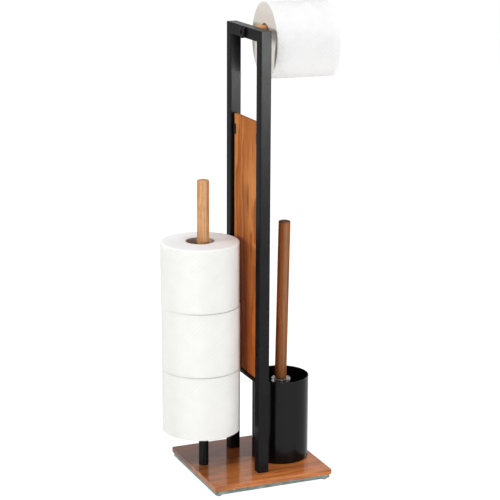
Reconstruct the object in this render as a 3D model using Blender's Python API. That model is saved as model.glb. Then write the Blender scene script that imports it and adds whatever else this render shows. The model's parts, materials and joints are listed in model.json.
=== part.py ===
"""Free-standing toilet butler: wood and glass base, black tube frame with a wooden panel,
a wooden arm with a paper roll, a rod with three spare rolls, and a brush in its container.

Metres, +Z up. X runs along the base from the spare rolls to the container, Y runs away from the
viewer, and the origin is on the floor under the middle of the frame.
"""
import math

import bmesh
import bpy
from mathutils import Vector

# Fits shared by every piece
FIT_GAP = 0.0003
CUT_OVERRUN = 0.001
WELD_DISTANCE = 0.000001
SHARP_ANGLE = math.radians(32)

# Facets of round pieces
ROLL_SIDES = 40
CORE_SIDES = 28
CONTAINER_SIDES = 44
DOWEL_SIDES = 24
TUBE_SIDES = 20
FASTENER_SIDES = 12
ROUND_STEPS = 2
CORNER_STEPS = 3

# Base: a lacquered wood plate on a glass plate on four clear feet, with margins to what stands on it
BASE_LEFT_MARGIN = 0.02009
BASE_RIGHT_MARGIN = 0.005
BASE_SIDE_MARGIN = 0.027
WOOD_THICKNESS = 0.008
WOOD_CORNER_RADIUS = 0.0025
WOOD_EDGE_BEVEL = 0.0007
GLASS_THICKNESS = 0.006
GLASS_INSET = 0.002
GLASS_CORNER_RADIUS = 0.003
GLASS_EDGE_BEVEL = 0.0006
FOOT_HEIGHT = 0.0035
FOOT_DIAMETER = 0.010
FOOT_EDGE = 0.0006
FOOT_INSET = 0.0025

# Fasteners: one thread size holds the uprights, the post, the arm and the brush
BOLT_DIAMETER = 0.006
BOLT_HEAD_DIAMETER = 0.012
BOLT_HEAD_HEIGHT = 0.0018
BOLT_HEAD_EDGE = 0.0005
WASHER_DIAMETER = 0.016
WASHER_THICKNESS = 0.0006
DRIVE_WIDTH = 0.004
DRIVE_DEPTH = 0.001
NUT_LENGTH = 0.016
BOLT_STANDOUT = 0.003
INSERT_DIAMETER = 0.0094
INSERT_LENGTH = 0.016

# Frame: square tube, two uprights mitred to a crossbar, and a rail that carries the panel
TUBE_WIDTH = 0.017
TUBE_WALL = 0.0012
TUBE_CORNER_RADIUS = 0.0014
FRAME_HEIGHT = 0.683
FRAME_DEPTH = 0.132
RAIL_LEVEL = 0.1395
RAIL_HEIGHT = 0.006
RAIL_WIDTH = 0.010
RAIL_EDGE_BEVEL = 0.0005

# Panel and what holds it
PANEL_HEIGHT = 0.399
PANEL_THICKNESS = 0.006
PANEL_SIDE_GAP = 0.002
PANEL_EDGE_BEVEL = 0.0006
CLIP_DROP = 0.0236
CLIP_HEIGHT = 0.0155
CLIP_REACH = 0.008
CLIP_CHEEK = 0.0018
CLIP_CORNER_RADIUS = 0.0006
CLIP_SCREW_DIAMETER = 0.003
CLIP_SCREW_HEAD = 0.0052
CLIP_SCREW_HEAD_HEIGHT = 0.0009
CLIP_SCREW_LENGTH = 0.008
RAIL_SCREW_DIAMETER = 0.0024
RAIL_SCREW_HEAD = 0.0052
RAIL_SCREW_HEAD_HEIGHT = 0.0014
RAIL_SCREW_LENGTH = 0.020
RAIL_SCREW_SPACING = 0.060

# Wooden dowel used for the arm, the spare rod and the brush handle
DOWEL_DIAMETER = 0.0185
DOWEL_END_RADIUS = 0.0018
ARM_LENGTH = 0.1266
ARM_HEAD_DIAMETER = 0.0185
ARM_HEAD_HEIGHT = 0.0036
ARM_HEAD_EDGE = 0.0012

# Post and rod of the spare rolls
SEAT_LEVEL = 0.059
SEAT_DIAMETER = 0.070
SEAT_THICKNESS = 0.003
SEAT_EDGE = 0.0006
POST_DIAMETER = 0.0152
POST_WALL = 0.0015
POST_Y = 0.0045
SPARE_ROD_LENGTH = 0.3955

# Paper rolls
CORE_WALL = 0.0008
CORE_SETBACK = 0.0006
PAPER_EDGE = 0.0022
PAPER_BORE_EDGE = 0.0010
SPARE_ROLL_COUNT = 3
SPARE_ROLL_DIAMETER = 0.121
SPARE_ROLL_WIDTH = 0.100
SPARE_ROLL_BORE = 0.0425
SPARE_ROLL_PASS_GAP = 0.0008
SHIFT_X_SHARES = (-0.17, -0.20, -0.27)
SHIFT_Y_SHARES = (0.38, 0.40, 0.42)
TOP_ROLL_DIAMETER = 0.1156
TOP_ROLL_WIDTH = 0.097
TOP_ROLL_BORE = 0.050
TOP_ROLL_GAP = 0.0185
TOP_ROLL_TURN = math.radians(-4.3)

# Brush container
CONTAINER_DIAMETER = 0.0885
CONTAINER_HEIGHT = 0.134
CONTAINER_WALL = 0.0012
CONTAINER_FLOOR = 0.0016
CONTAINER_FOOT_RADIUS = 0.0015
CONTAINER_GAP = 0.00225
CONTAINER_Y = -0.0028

# Brush
BRUSH_LEAN = math.radians(1.0)
BRUSH_SHIFT_SHARE = -0.25
BRISTLE_PLAY = 0.007
BRISTLE_HEIGHT = 0.086
BRISTLE_WIDTH = 0.0011
BRISTLE_TIP_SHARE = 0.6
BRISTLE_COLUMNS = 26
BRISTLE_ROWS = 10
BRISTLE_DOME_ROWS = 2
BRISTLE_DOME_OPEN = math.radians(16)
SLEEVE_WALL = 0.0014
HEAD_CORE_DIAMETER = 0.023
NECK_DIAMETER = 0.015
COLLAR_LEVEL = 0.1260
COLLAR_DIAMETER = 0.029
COLLAR_HEIGHT = 0.005
COLLAR_EDGE = 0.0012
HANDLE_LENGTH = 0.2525
STUD_LENGTH = 0.030

# Heights and places that follow from the sizes above
GLASS_BOTTOM = FOOT_HEIGHT
WOOD_BOTTOM = GLASS_BOTTOM + GLASS_THICKNESS + FIT_GAP
BASE_TOP = WOOD_BOTTOM + WOOD_THICKNESS
ON_BASE = BASE_TOP + FIT_GAP
FRAME_TOP = ON_BASE + FRAME_HEIGHT
CROSSBAR_LEVEL = FRAME_TOP - TUBE_WIDTH / 2
UPRIGHT_Y = (FRAME_DEPTH - TUBE_WIDTH) / 2
INNER_Y = FRAME_DEPTH / 2 - TUBE_WIDTH
RAIL_BOTTOM = BASE_TOP + RAIL_LEVEL
PANEL_BOTTOM = RAIL_BOTTOM + RAIL_HEIGHT + FIT_GAP
PANEL_TOP = PANEL_BOTTOM + PANEL_HEIGHT
CLIP_LEVEL = PANEL_TOP - CLIP_DROP
CONTAINER_X = TUBE_WIDTH / 2 + CONTAINER_GAP + CONTAINER_DIAMETER / 2
SEAT_TOP = BASE_TOP + SEAT_LEVEL
BOLT_HOLE = BOLT_DIAMETER + 2 * FIT_GAP
SPARE_PLAY = (SPARE_ROLL_BORE - DOWEL_DIAMETER) / 2
POST_X = -(
    TUBE_WIDTH / 2
    + FIT_GAP
    + ARM_HEAD_HEIGHT
    + SPARE_ROLL_PASS_GAP
    + SPARE_ROLL_DIAMETER / 2
    + max(SHIFT_X_SHARES) * SPARE_PLAY
)
BASE_LEFT = POST_X - BASE_LEFT_MARGIN
BASE_RIGHT = CONTAINER_X + CONTAINER_DIAMETER / 2 + BASE_RIGHT_MARGIN
BASE_LENGTH = BASE_RIGHT - BASE_LEFT
BASE_DEPTH = FRAME_DEPTH + 2 * BASE_SIDE_MARGIN
BASE_X = (BASE_LEFT + BASE_RIGHT) / 2
BRISTLE_RADIUS = CONTAINER_DIAMETER / 2 - CONTAINER_WALL - BRISTLE_PLAY
UNDER_GLASS = GLASS_BOTTOM - FIT_GAP - WASHER_THICKNESS


# Outline helpers

def fillet(corners, radii, steps):
    """Round each corner of an outline by its radius; a radius of zero keeps it sharp."""
    points = []
    for index, radius in enumerate(radii):
        corner = Vector(corners[index])
        if radius == 0:
            points.append(tuple(corner))
            continue
        before = (Vector(corners[index - 1]) - corner).normalized()
        after = (Vector(corners[(index + 1) % len(corners)]) - corner).normalized()
        half_angle = before.angle(after) / 2
        reach = radius / math.tan(half_angle)
        centre = corner + (before + after).normalized() * (radius / math.sin(half_angle))
        first = corner + before * reach - centre
        last = corner + after * reach - centre
        start = math.atan2(first.y, first.x)
        sweep = math.remainder(math.atan2(last.y, last.x) - start, math.tau)
        for step in range(steps + 1):
            angle = start + sweep * step / steps
            points.append(tuple(centre + Vector((math.cos(angle), math.sin(angle))) * radius))
    return points


def rectangle(width, depth, radius, steps=CORNER_STEPS):
    """Counter-clockwise rectangle about the origin with rounded corners."""
    half_x = width / 2
    half_y = depth / 2
    corners = [(-half_x, -half_y), (half_x, -half_y), (half_x, half_y), (-half_x, half_y)]
    return fillet(corners, [radius] * 4, steps)


def rod_profile(radius, bottom, top, bottom_edge, top_edge, steps=ROUND_STEPS):
    """Half profile of a solid rod from the axis at the top round to the axis at the bottom."""
    corners = [(0, top), (radius, top), (radius, bottom), (0, bottom)]
    return fillet(corners, [0, top_edge, bottom_edge, 0], steps)


def ring_profile(inner, outer, bottom, top, inner_edge=0, outer_edge=0, steps=ROUND_STEPS):
    """Closed profile of a ring or tube."""
    corners = [(inner, top), (outer, top), (outer, bottom), (inner, bottom)]
    return fillet(corners, [inner_edge, outer_edge, outer_edge, inner_edge], steps)


def dowel_profile(length):
    """Half profile of a dowel standing on its drilled end, with a rounded far end."""
    radius = DOWEL_DIAMETER / 2
    pocket_radius = INSERT_DIAMETER / 2 + FIT_GAP
    pocket_depth = INSERT_LENGTH + 2 * FIT_GAP
    corners = [
        (0, length),
        (radius, length),
        (radius, 0),
        (pocket_radius, 0),
        (pocket_radius, pocket_depth),
        (0, pocket_depth),
    ]
    return fillet(corners, [0, DOWEL_END_RADIUS, 0, 0, 0, 0], ROUND_STEPS)


# Object helpers

def finish(name, bm, material, location=(0, 0, 0), turn=(0, 0, 0), parent=None):
    """Turn a bmesh into a named object with its material and shading."""
    bmesh.ops.recalc_face_normals(bm, faces=bm.faces)
    mesh = bpy.data.meshes.new(name)
    bm.to_mesh(mesh)
    bm.free()
    mesh.shade_smooth()
    mesh.set_sharp_from_angle(angle=SHARP_ANGLE)
    mesh.materials.append(material)
    piece = bpy.data.objects.new(name, mesh)
    bpy.context.scene.collection.objects.link(piece)
    piece.location = location
    piece.rotation_euler = turn
    piece.parent = parent
    return piece


def turned(name, profile, sides, material, **place):
    """Spin a half profile about Z; a profile that starts off the axis is a closed ring."""
    bm = bmesh.new()
    verts = [bm.verts.new((radius, 0, height)) for radius, height in profile]
    edges = [bm.edges.new(pair) for pair in zip(verts, verts[1:])]
    if profile[0][0] > 0:
        edges.append(bm.edges.new((verts[-1], verts[0])))
    bmesh.ops.spin(
        bm, geom=verts + edges, cent=(0, 0, 0), axis=(0, 0, 1), angle=math.tau, steps=sides, use_merge=True
    )
    bmesh.ops.remove_doubles(bm, verts=bm.verts, dist=WELD_DISTANCE)
    return finish(name, bm, material, **place)


def prism(name, outline, height, material, **place):
    """Raise a flat outline by a height along Z."""
    bm = bmesh.new()
    face = bm.faces.new([bm.verts.new((x, y, 0)) for x, y in outline])
    raised = bmesh.ops.extrude_face_region(bm, geom=[face])["geom"]
    top = [item for item in raised if isinstance(item, bmesh.types.BMVert)]
    bmesh.ops.translate(bm, verts=top, vec=(0, 0, height))
    return finish(name, bm, material, **place)


def square_tube(name, low, high, low_slope, high_slope, material, **place):
    """Hollow square tube along Z whose ends slope with Y, for mitres."""
    outer = rectangle(TUBE_WIDTH, TUBE_WIDTH, TUBE_CORNER_RADIUS)
    bore = TUBE_WIDTH - 2 * TUBE_WALL
    inner = rectangle(bore, bore, TUBE_CORNER_RADIUS / 2)
    bm = bmesh.new()
    rings = []
    for outline, end, slope in (
        (outer, low, low_slope),
        (outer, high, high_slope),
        (inner, high, high_slope),
        (inner, low, low_slope),
    ):
        rings.append([bm.verts.new((x, y, end + slope * y)) for x, y in outline])
    for ring, following in zip(rings, rings[1:] + rings[:1]):
        for index in range(len(ring)):
            near = index - 1
            bm.faces.new((ring[near], ring[index], following[index], following[near]))
    return finish(name, bm, material, **place)


def bevel_edges(piece, width, segments=2):
    """Soften the sharp edges of a piece."""
    bevel = piece.modifiers.new("edge", "BEVEL")
    bevel.width = width
    bevel.segments = segments
    bevel.limit_method = "ANGLE"
    bevel.angle_limit = SHARP_ANGLE


def cut(piece, cutter):
    """Take a cutter's volume out of a piece, and hide the cutter."""
    cutter.hide_render = True
    cutter.display_type = "WIRE"
    boolean = piece.modifiers.new("cut", "BOOLEAN")
    boolean.operation = "DIFFERENCE"
    boolean.solver = "EXACT"
    boolean.object = cutter


def drill(piece, label, diameter, low, high, **place):
    """Drill a round hole through a piece, from low to high along the cutter's Z."""
    profile = rod_profile(diameter / 2, low, high, 0, 0)
    cut(piece, turned("cutter_" + label, profile, FASTENER_SIDES, piece.data.materials[0], **place))


def make_material(name, colour, roughness, metallic=0.0):
    """Principled material with one colour."""
    material = bpy.data.materials.new(name)
    material.use_nodes = True
    shader = material.node_tree.nodes["Principled BSDF"]
    shader.inputs["Base Color"].default_value = (*colour, 1.0)
    shader.inputs["Roughness"].default_value = roughness
    shader.inputs["Metallic"].default_value = metallic
    material.diffuse_color = (*colour, 1.0)
    return material


def make_materials():
    """Every finish of the stand by name."""
    return {
        "black": make_material("black_powder_coat", (0.018, 0.018, 0.020), 0.45),
        "panel": make_material("panel_acacia", (0.36, 0.14, 0.045), 0.45),
        "base": make_material("base_lacquered_wood", (0.30, 0.115, 0.04), 0.18),
        "dowel": make_material("oiled_dowel", (0.45, 0.20, 0.08), 0.50),
        "handle": make_material("brown_dowel", (0.22, 0.085, 0.035), 0.50),
        "glass": make_material("green_edged_glass", (0.62, 0.72, 0.66), 0.05),
        "foot": make_material("clear_bumper", (0.80, 0.80, 0.78), 0.30),
        "steel": make_material("zinc_plated_steel", (0.55, 0.56, 0.58), 0.35, 1.0),
        "brass": make_material("insert_brass", (0.65, 0.47, 0.20), 0.35, 1.0),
        "paper": make_material("tissue_paper", (0.88, 0.88, 0.87), 0.95),
        "board": make_material("grey_brown_board", (0.36, 0.27, 0.20), 0.90),
        "plastic": make_material("grey_plastic", (0.50, 0.50, 0.51), 0.40),
        "clip": make_material("black_plastic", (0.015, 0.015, 0.016), 0.50),
        "bristle": make_material("pale_bristles", (0.80, 0.80, 0.82), 0.50),
    }


# Sub-assemblies

def make_insert(name, dowel, mats):
    """Threaded insert just inside the drilled end of a dowel, which shares the dowel's place."""
    ring = ring_profile(BOLT_HOLE / 2, INSERT_DIAMETER / 2, FIT_GAP, FIT_GAP + INSERT_LENGTH)
    turned(name, ring, FASTENER_SIDES, mats["brass"], **dowel)


def low_head_bolt(name, x, y, tip_level, mats):
    """Low-head bolt and washer that come up through both base plates."""
    head_top = UNDER_GLASS - FIT_GAP
    profile = fillet(
        [
            (0, tip_level),
            (BOLT_DIAMETER / 2, tip_level),
            (BOLT_DIAMETER / 2, head_top),
            (BOLT_HEAD_DIAMETER / 2, head_top),
            (BOLT_HEAD_DIAMETER / 2, head_top - BOLT_HEAD_HEIGHT),
            (0, head_top - BOLT_HEAD_HEIGHT),
        ],
        [0, 0, 0, 0, BOLT_HEAD_EDGE, 0],
        ROUND_STEPS,
    )
    bolt = turned(name + "_bolt", profile, FASTENER_SIDES, mats["steel"], location=(x, y, 0))
    drive = rectangle(DRIVE_WIDTH, DRIVE_WIDTH, 0)
    low = head_top - BOLT_HEAD_HEIGHT - CUT_OVERRUN
    height = DRIVE_DEPTH + CUT_OVERRUN
    cut(bolt, prism("cutter_" + name + "_drive", drive, height, mats["steel"], location=(x, y, low)))
    washer = ring_profile(BOLT_HOLE / 2, WASHER_DIAMETER / 2, 0, WASHER_THICKNESS)
    turned(name + "_washer", washer, FASTENER_SIDES, mats["steel"], location=(x, y, UNDER_GLASS))


def make_base(mats):
    """Wood plate on a glass plate on four clear feet, drilled for the three bolts."""
    wood = prism(
        "base_wood_plate",
        rectangle(BASE_LENGTH, BASE_DEPTH, WOOD_CORNER_RADIUS),
        WOOD_THICKNESS,
        mats["base"],
        location=(BASE_X, 0, WOOD_BOTTOM),
    )
    bevel_edges(wood, WOOD_EDGE_BEVEL)
    glass_length = BASE_LENGTH - 2 * GLASS_INSET
    glass_depth = BASE_DEPTH - 2 * GLASS_INSET
    glass = prism(
        "base_glass_plate",
        rectangle(glass_length, glass_depth, GLASS_CORNER_RADIUS),
        GLASS_THICKNESS,
        mats["glass"],
        location=(BASE_X, 0, GLASS_BOTTOM),
    )
    bevel_edges(glass, GLASS_EDGE_BEVEL)
    holes = {"front": (0, -UPRIGHT_Y), "rear": (0, UPRIGHT_Y), "post": (POST_X, POST_Y)}
    for label, (x, y) in holes.items():
        low = GLASS_BOTTOM - CUT_OVERRUN
        high = BASE_TOP + CUT_OVERRUN
        for plate, kind in ((wood, "wood"), (glass, "glass")):
            drill(plate, kind + "_" + label, BOLT_HOLE, low, high, location=(x, y, 0))
    foot_radius = FOOT_DIAMETER / 2
    reach_x = glass_length / 2 - FOOT_INSET - foot_radius
    reach_y = glass_depth / 2 - FOOT_INSET - foot_radius
    profile = rod_profile(foot_radius, 0, FOOT_HEIGHT - FIT_GAP, FOOT_EDGE, 0, 1)
    places = [(-1, -1), (1, -1), (1, 1), (-1, 1)]
    for number, (side_x, side_y) in enumerate(places, start=1):
        location = (BASE_X + side_x * reach_x, side_y * reach_y, 0)
        turned("base_foot_%d" % number, profile, TUBE_SIDES, mats["foot"], location=location)


def make_frame(mats):
    """Two uprights mitred to the crossbar, each held from below by a bolt in a welded nut."""
    mitre_gap = FIT_GAP * math.sqrt(2)
    upright_mid = FRAME_HEIGHT - TUBE_WIDTH / 2
    uprights = {}
    for label, side in (("front", -1), ("rear", 1)):
        y = side * UPRIGHT_Y
        upright = square_tube(
            "upright_" + label, 0, upright_mid, 0, side, mats["black"], location=(0, y, ON_BASE)
        )
        uprights[label] = upright
        nut_side = TUBE_WIDTH - 2 * TUBE_WALL - 2 * FIT_GAP
        nut = prism(
            "upright_nut_" + label,
            rectangle(nut_side, nut_side, TUBE_CORNER_RADIUS),
            NUT_LENGTH,
            mats["steel"],
            location=(0, y, ON_BASE),
        )
        low = ON_BASE - CUT_OVERRUN
        high = ON_BASE + NUT_LENGTH + CUT_OVERRUN
        drill(nut, "nut_" + label, BOLT_HOLE, low, high, location=(0, y, 0))
        low_head_bolt("upright_" + label, 0, y, ON_BASE + NUT_LENGTH + BOLT_STANDOUT, mats)
    bar_mid = UPRIGHT_Y - mitre_gap
    crossbar = square_tube(
        "crossbar",
        -bar_mid,
        bar_mid,
        1,
        -1,
        mats["black"],
        location=(0, 0, CROSSBAR_LEVEL),
        turn=(math.radians(-90), 0, 0),
    )
    return uprights, crossbar


def make_panel(uprights, mats):
    """Rail between the uprights, the wooden panel that stands on it, and two clips near its top."""
    rail_length = 2 * (INNER_Y - FIT_GAP)
    rail = prism(
        "panel_rail",
        rectangle(RAIL_WIDTH, rail_length, 0),
        RAIL_HEIGHT,
        mats["black"],
        location=(0, 0, RAIL_BOTTOM),
    )
    bevel_edges(rail, RAIL_EDGE_BEVEL, 1)
    panel_width = 2 * (INNER_Y - PANEL_SIDE_GAP)
    panel = prism(
        "back_panel",
        rectangle(PANEL_THICKNESS, panel_width, 0),
        PANEL_HEIGHT,
        mats["panel"],
        location=(0, 0, PANEL_BOTTOM),
    )
    bevel_edges(panel, PANEL_EDGE_BEVEL)
    screw_hole = RAIL_SCREW_DIAMETER + 2 * FIT_GAP
    head_top = RAIL_BOTTOM - FIT_GAP
    screw_tip = head_top + RAIL_SCREW_LENGTH
    profile = fillet(
        [
            (0, screw_tip),
            (RAIL_SCREW_DIAMETER / 2, screw_tip - RAIL_SCREW_DIAMETER),
            (RAIL_SCREW_DIAMETER / 2, head_top),
            (RAIL_SCREW_HEAD / 2, head_top),
            (RAIL_SCREW_HEAD / 2, head_top - RAIL_SCREW_HEAD_HEIGHT),
            (0, head_top - RAIL_SCREW_HEAD_HEIGHT),
        ],
        [0, 0, 0, 0, RAIL_SCREW_HEAD_HEIGHT / 2, 0],
        ROUND_STEPS,
    )
    for label, side in (("front", -1), ("rear", 1)):
        y = side * RAIL_SCREW_SPACING / 2
        low = RAIL_BOTTOM - CUT_OVERRUN
        for piece, kind in ((rail, "rail"), (panel, "panel")):
            high = screw_tip + FIT_GAP
            drill(piece, kind + "_" + label, screw_hole, low, high, location=(0, y, 0))
        turned("rail_screw_" + label, profile, FASTENER_SIDES, mats["black"], location=(0, y, 0))
        make_clip(label, side, uprights[label], mats)


def make_clip(label, side, upright, mats):
    """U-shaped clip that grips the panel's edge, screwed to the inner face of its upright."""
    slot_half = PANEL_THICKNESS / 2 + FIT_GAP
    cheek_half = slot_half + CLIP_CHEEK
    floor = PANEL_SIDE_GAP - 2 * FIT_GAP
    corners = [
        (-cheek_half, 0),
        (cheek_half, 0),
        (cheek_half, CLIP_REACH),
        (slot_half, CLIP_REACH),
        (slot_half, floor),
        (-slot_half, floor),
        (-slot_half, CLIP_REACH),
        (-cheek_half, CLIP_REACH),
    ]
    radius = CLIP_CORNER_RADIUS
    outline = fillet(corners, [radius, radius, radius, 0, 0, 0, 0, radius], 1)
    seat_y = side * (INNER_Y - FIT_GAP)
    heading = 0 if side < 0 else math.pi
    clip = prism(
        "panel_clip_" + label,
        outline,
        CLIP_HEIGHT,
        mats["clip"],
        location=(0, seat_y, CLIP_LEVEL - CLIP_HEIGHT / 2),
        turn=(0, 0, heading),
    )
    head_bottom = floor - CLIP_SCREW_HEAD_HEIGHT
    shank = CLIP_SCREW_DIAMETER / 2
    profile = [
        (0, floor),
        (CLIP_SCREW_HEAD / 2, floor),
        (shank, head_bottom),
        (shank, floor - CLIP_SCREW_LENGTH),
        (0, floor - CLIP_SCREW_LENGTH),
    ]
    place = {
        "location": (0, seat_y, CLIP_LEVEL),
        "turn": (math.radians(90) * side, 0, 0),
    }
    turned("clip_screw_" + label, profile, FASTENER_SIDES, mats["steel"], **place)
    hole = shank + FIT_GAP
    inside_tube = -TUBE_WALL - FIT_GAP - CUT_OVERRUN
    recess = [
        (0, floor + CUT_OVERRUN),
        (CLIP_SCREW_HEAD / 2 + FIT_GAP, floor + CUT_OVERRUN),
        (CLIP_SCREW_HEAD / 2 + FIT_GAP, floor),
        (hole, head_bottom),
        (hole, inside_tube),
        (0, inside_tube),
    ]
    cut(clip, turned("cutter_clip_" + label, recess, FASTENER_SIDES, mats["clip"], **place))
    cut(upright, turned("cutter_tube_" + label, recess, FASTENER_SIDES, mats["clip"], **place))


def make_arm(crossbar, mats):
    """Wooden arm held to the crossbar by a round-headed bolt through the tube into an insert."""
    along_x = (0, math.radians(90), 0)
    face = TUBE_WIDTH / 2
    root_x = face + FIT_GAP
    dowel = {"location": (root_x, 0, CROSSBAR_LEVEL), "turn": along_x}
    turned("roll_arm", dowel_profile(ARM_LENGTH), DOWEL_SIDES, mats["dowel"], **dowel)
    make_insert("arm_insert", dowel, mats)
    insert_x = root_x + FIT_GAP
    seat = -face - FIT_GAP
    tip = insert_x + INSERT_LENGTH - FIT_GAP
    bolt = fillet(
        [
            (0, tip),
            (BOLT_DIAMETER / 2, tip),
            (BOLT_DIAMETER / 2, seat),
            (ARM_HEAD_DIAMETER / 2, seat),
            (ARM_HEAD_DIAMETER / 2, seat - ARM_HEAD_HEIGHT),
            (0, seat - ARM_HEAD_HEIGHT),
        ],
        [0, 0, 0, 0, ARM_HEAD_EDGE, 0],
        ROUND_STEPS,
    )
    turned("arm_bolt", bolt, TUBE_SIDES, mats["black"], location=(0, 0, CROSSBAR_LEVEL), turn=along_x)
    low = -face - CUT_OVERRUN
    high = face + CUT_OVERRUN
    drill(crossbar, "crossbar", BOLT_HOLE, low, high, location=(0, 0, CROSSBAR_LEVEL), turn=along_x)


def make_roll(name, label, diameter, width, bore, place, mats):
    """Paper roll centred on its place, wound on a board core."""
    paper_bore = bore / 2 + CORE_WALL + FIT_GAP
    paper = fillet(
        [
            (paper_bore, width / 2),
            (diameter / 2, width / 2),
            (diameter / 2, -width / 2),
            (paper_bore, -width / 2),
        ],
        [PAPER_BORE_EDGE, PAPER_EDGE, PAPER_EDGE, PAPER_BORE_EDGE],
        ROUND_STEPS,
    )
    turned(name + "_paper" + label, paper, ROLL_SIDES, mats["paper"], **place)
    half_core = width / 2 - CORE_SETBACK
    core = ring_profile(bore / 2, bore / 2 + CORE_WALL, -half_core, half_core)
    turned(name + "_core" + label, core, CORE_SIDES, mats["board"], **place)


def make_spare_post(mats):
    """Short black tube, seat disc and wooden rod, clamped to the base by one long bolt."""
    here = (POST_X, POST_Y, 0)
    seat_bottom = SEAT_TOP - SEAT_THICKNESS
    tube = ring_profile(POST_DIAMETER / 2 - POST_WALL, POST_DIAMETER / 2, ON_BASE, seat_bottom - FIT_GAP)
    turned("post_tube", tube, TUBE_SIDES, mats["black"], location=here)
    seat = ring_profile(BOLT_HOLE / 2, SEAT_DIAMETER / 2, seat_bottom, SEAT_TOP, 0, SEAT_EDGE, 1)
    turned("roll_seat_disc", seat, CORE_SIDES, mats["black"], location=here)
    rod_foot = SEAT_TOP + FIT_GAP
    dowel = {"location": (POST_X, POST_Y, rod_foot)}
    turned("spare_rod", dowel_profile(SPARE_ROD_LENGTH), DOWEL_SIDES, mats["dowel"], **dowel)
    make_insert("spare_rod_insert", dowel, mats)
    low_head_bolt("post", POST_X, POST_Y, rod_foot + INSERT_LENGTH, mats)


def make_spare_rolls(mats):
    """Three rolls stacked on the seat disc, each a little off the rod's axis."""
    for index in range(SPARE_ROLL_COUNT):
        x = POST_X + SHIFT_X_SHARES[index] * SPARE_PLAY
        y = POST_Y + SHIFT_Y_SHARES[index] * SPARE_PLAY
        bottom = SEAT_TOP + FIT_GAP + index * (SPARE_ROLL_WIDTH + FIT_GAP)
        place = {"location": (x, y, bottom + SPARE_ROLL_WIDTH / 2)}
        make_roll(
            "spare_roll",
            "_%d" % (index + 1),
            SPARE_ROLL_DIAMETER,
            SPARE_ROLL_WIDTH,
            SPARE_ROLL_BORE,
            place,
            mats,
        )


def make_top_roll(mats):
    """Roll that hangs on the arm by its core, turned a little about the vertical."""
    swing = TOP_ROLL_WIDTH / 2 * math.tan(abs(TOP_ROLL_TURN))
    play = TOP_ROLL_BORE / 2 - DOWEL_DIAMETER / 2 - FIT_GAP
    drop = math.sqrt(play**2 - swing**2)
    axis = bpy.data.objects.new("top_roll_axis", None)
    bpy.context.scene.collection.objects.link(axis)
    axis.location = (TUBE_WIDTH / 2 + TOP_ROLL_GAP + TOP_ROLL_WIDTH / 2, 0, CROSSBAR_LEVEL - drop)
    axis.rotation_euler = (0, 0, TOP_ROLL_TURN)
    place = {"turn": (0, math.radians(90), 0), "parent": axis}
    make_roll("top_roll", "", TOP_ROLL_DIAMETER, TOP_ROLL_WIDTH, TOP_ROLL_BORE, place, mats)


def make_container(mats):
    """Thin-walled cup that stands loose on the base."""
    outer = CONTAINER_DIAMETER / 2
    inner = outer - CONTAINER_WALL
    lip = CONTAINER_WALL / 3
    profile = fillet(
        [
            (0, CONTAINER_FLOOR),
            (inner, CONTAINER_FLOOR),
            (inner, CONTAINER_HEIGHT),
            (outer, CONTAINER_HEIGHT),
            (outer, 0),
            (0, 0),
        ],
        [0, CONTAINER_FOOT_RADIUS, lip, lip, CONTAINER_FOOT_RADIUS, 0],
        ROUND_STEPS,
    )
    location = (CONTAINER_X, CONTAINER_Y, ON_BASE)
    turned("brush_container", profile, CONTAINER_SIDES, mats["black"], location=location)


def bristle_rings():
    """Radius and height of each ring of the sleeve's outside, from its top down and round its dome."""
    radius = HEAD_CORE_DIAMETER / 2 + FIT_GAP + SLEEVE_WALL
    dome_level = BRISTLE_RADIUS
    rings = []
    for row in range(BRISTLE_ROWS + 1):
        rings.append((radius, BRISTLE_HEIGHT + (dome_level - BRISTLE_HEIGHT) * row / BRISTLE_ROWS))
    sweep = math.pi / 2 - BRISTLE_DOME_OPEN
    for row in range(1, BRISTLE_DOME_ROWS + 1):
        angle = sweep * row / BRISTLE_DOME_ROWS
        rings.append((radius * math.cos(angle), dome_level - radius * math.sin(angle)))
    return rings


def add_bristle(bm, face):
    """Replace one facet of the sleeve by a collar of faces and a four-sided strand."""
    corners = list(face.verts)
    centre = face.calc_center_median()
    normal = face.normal.copy()
    across = Vector((0, 0, 1)).cross(normal).normalized()
    along = normal.cross(across)
    if normal.z < -WELD_DISTANCE:
        level_limit = centre.z / -normal.z
    else:
        level_limit = math.inf
    flat = Vector((normal.x, normal.y)).length
    side_limit = (BRISTLE_RADIUS - Vector((centre.x, centre.y)).length) / flat
    length = min(level_limit, side_limit) - BRISTLE_WIDTH / 2
    rings = []
    for reach, width in ((0, BRISTLE_WIDTH), (length, BRISTLE_WIDTH * BRISTLE_TIP_SHARE)):
        middle = centre + normal * reach
        ring = []
        for corner in corners:
            offset = corner.co - centre
            step_across = math.copysign(width / 2, offset.dot(across))
            step_along = math.copysign(width / 2, offset.dot(along))
            ring.append(bm.verts.new(middle + across * step_across + along * step_along))
        rings.append(ring)
    base, tip = rings
    bm.faces.remove(face)
    for near in range(4):
        far = (near + 1) % 4
        bm.faces.new((corners[near], corners[far], base[far], base[near]))
        bm.faces.new((base[near], base[far], tip[far], tip[near]))
    bm.faces.new(tip)


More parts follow.
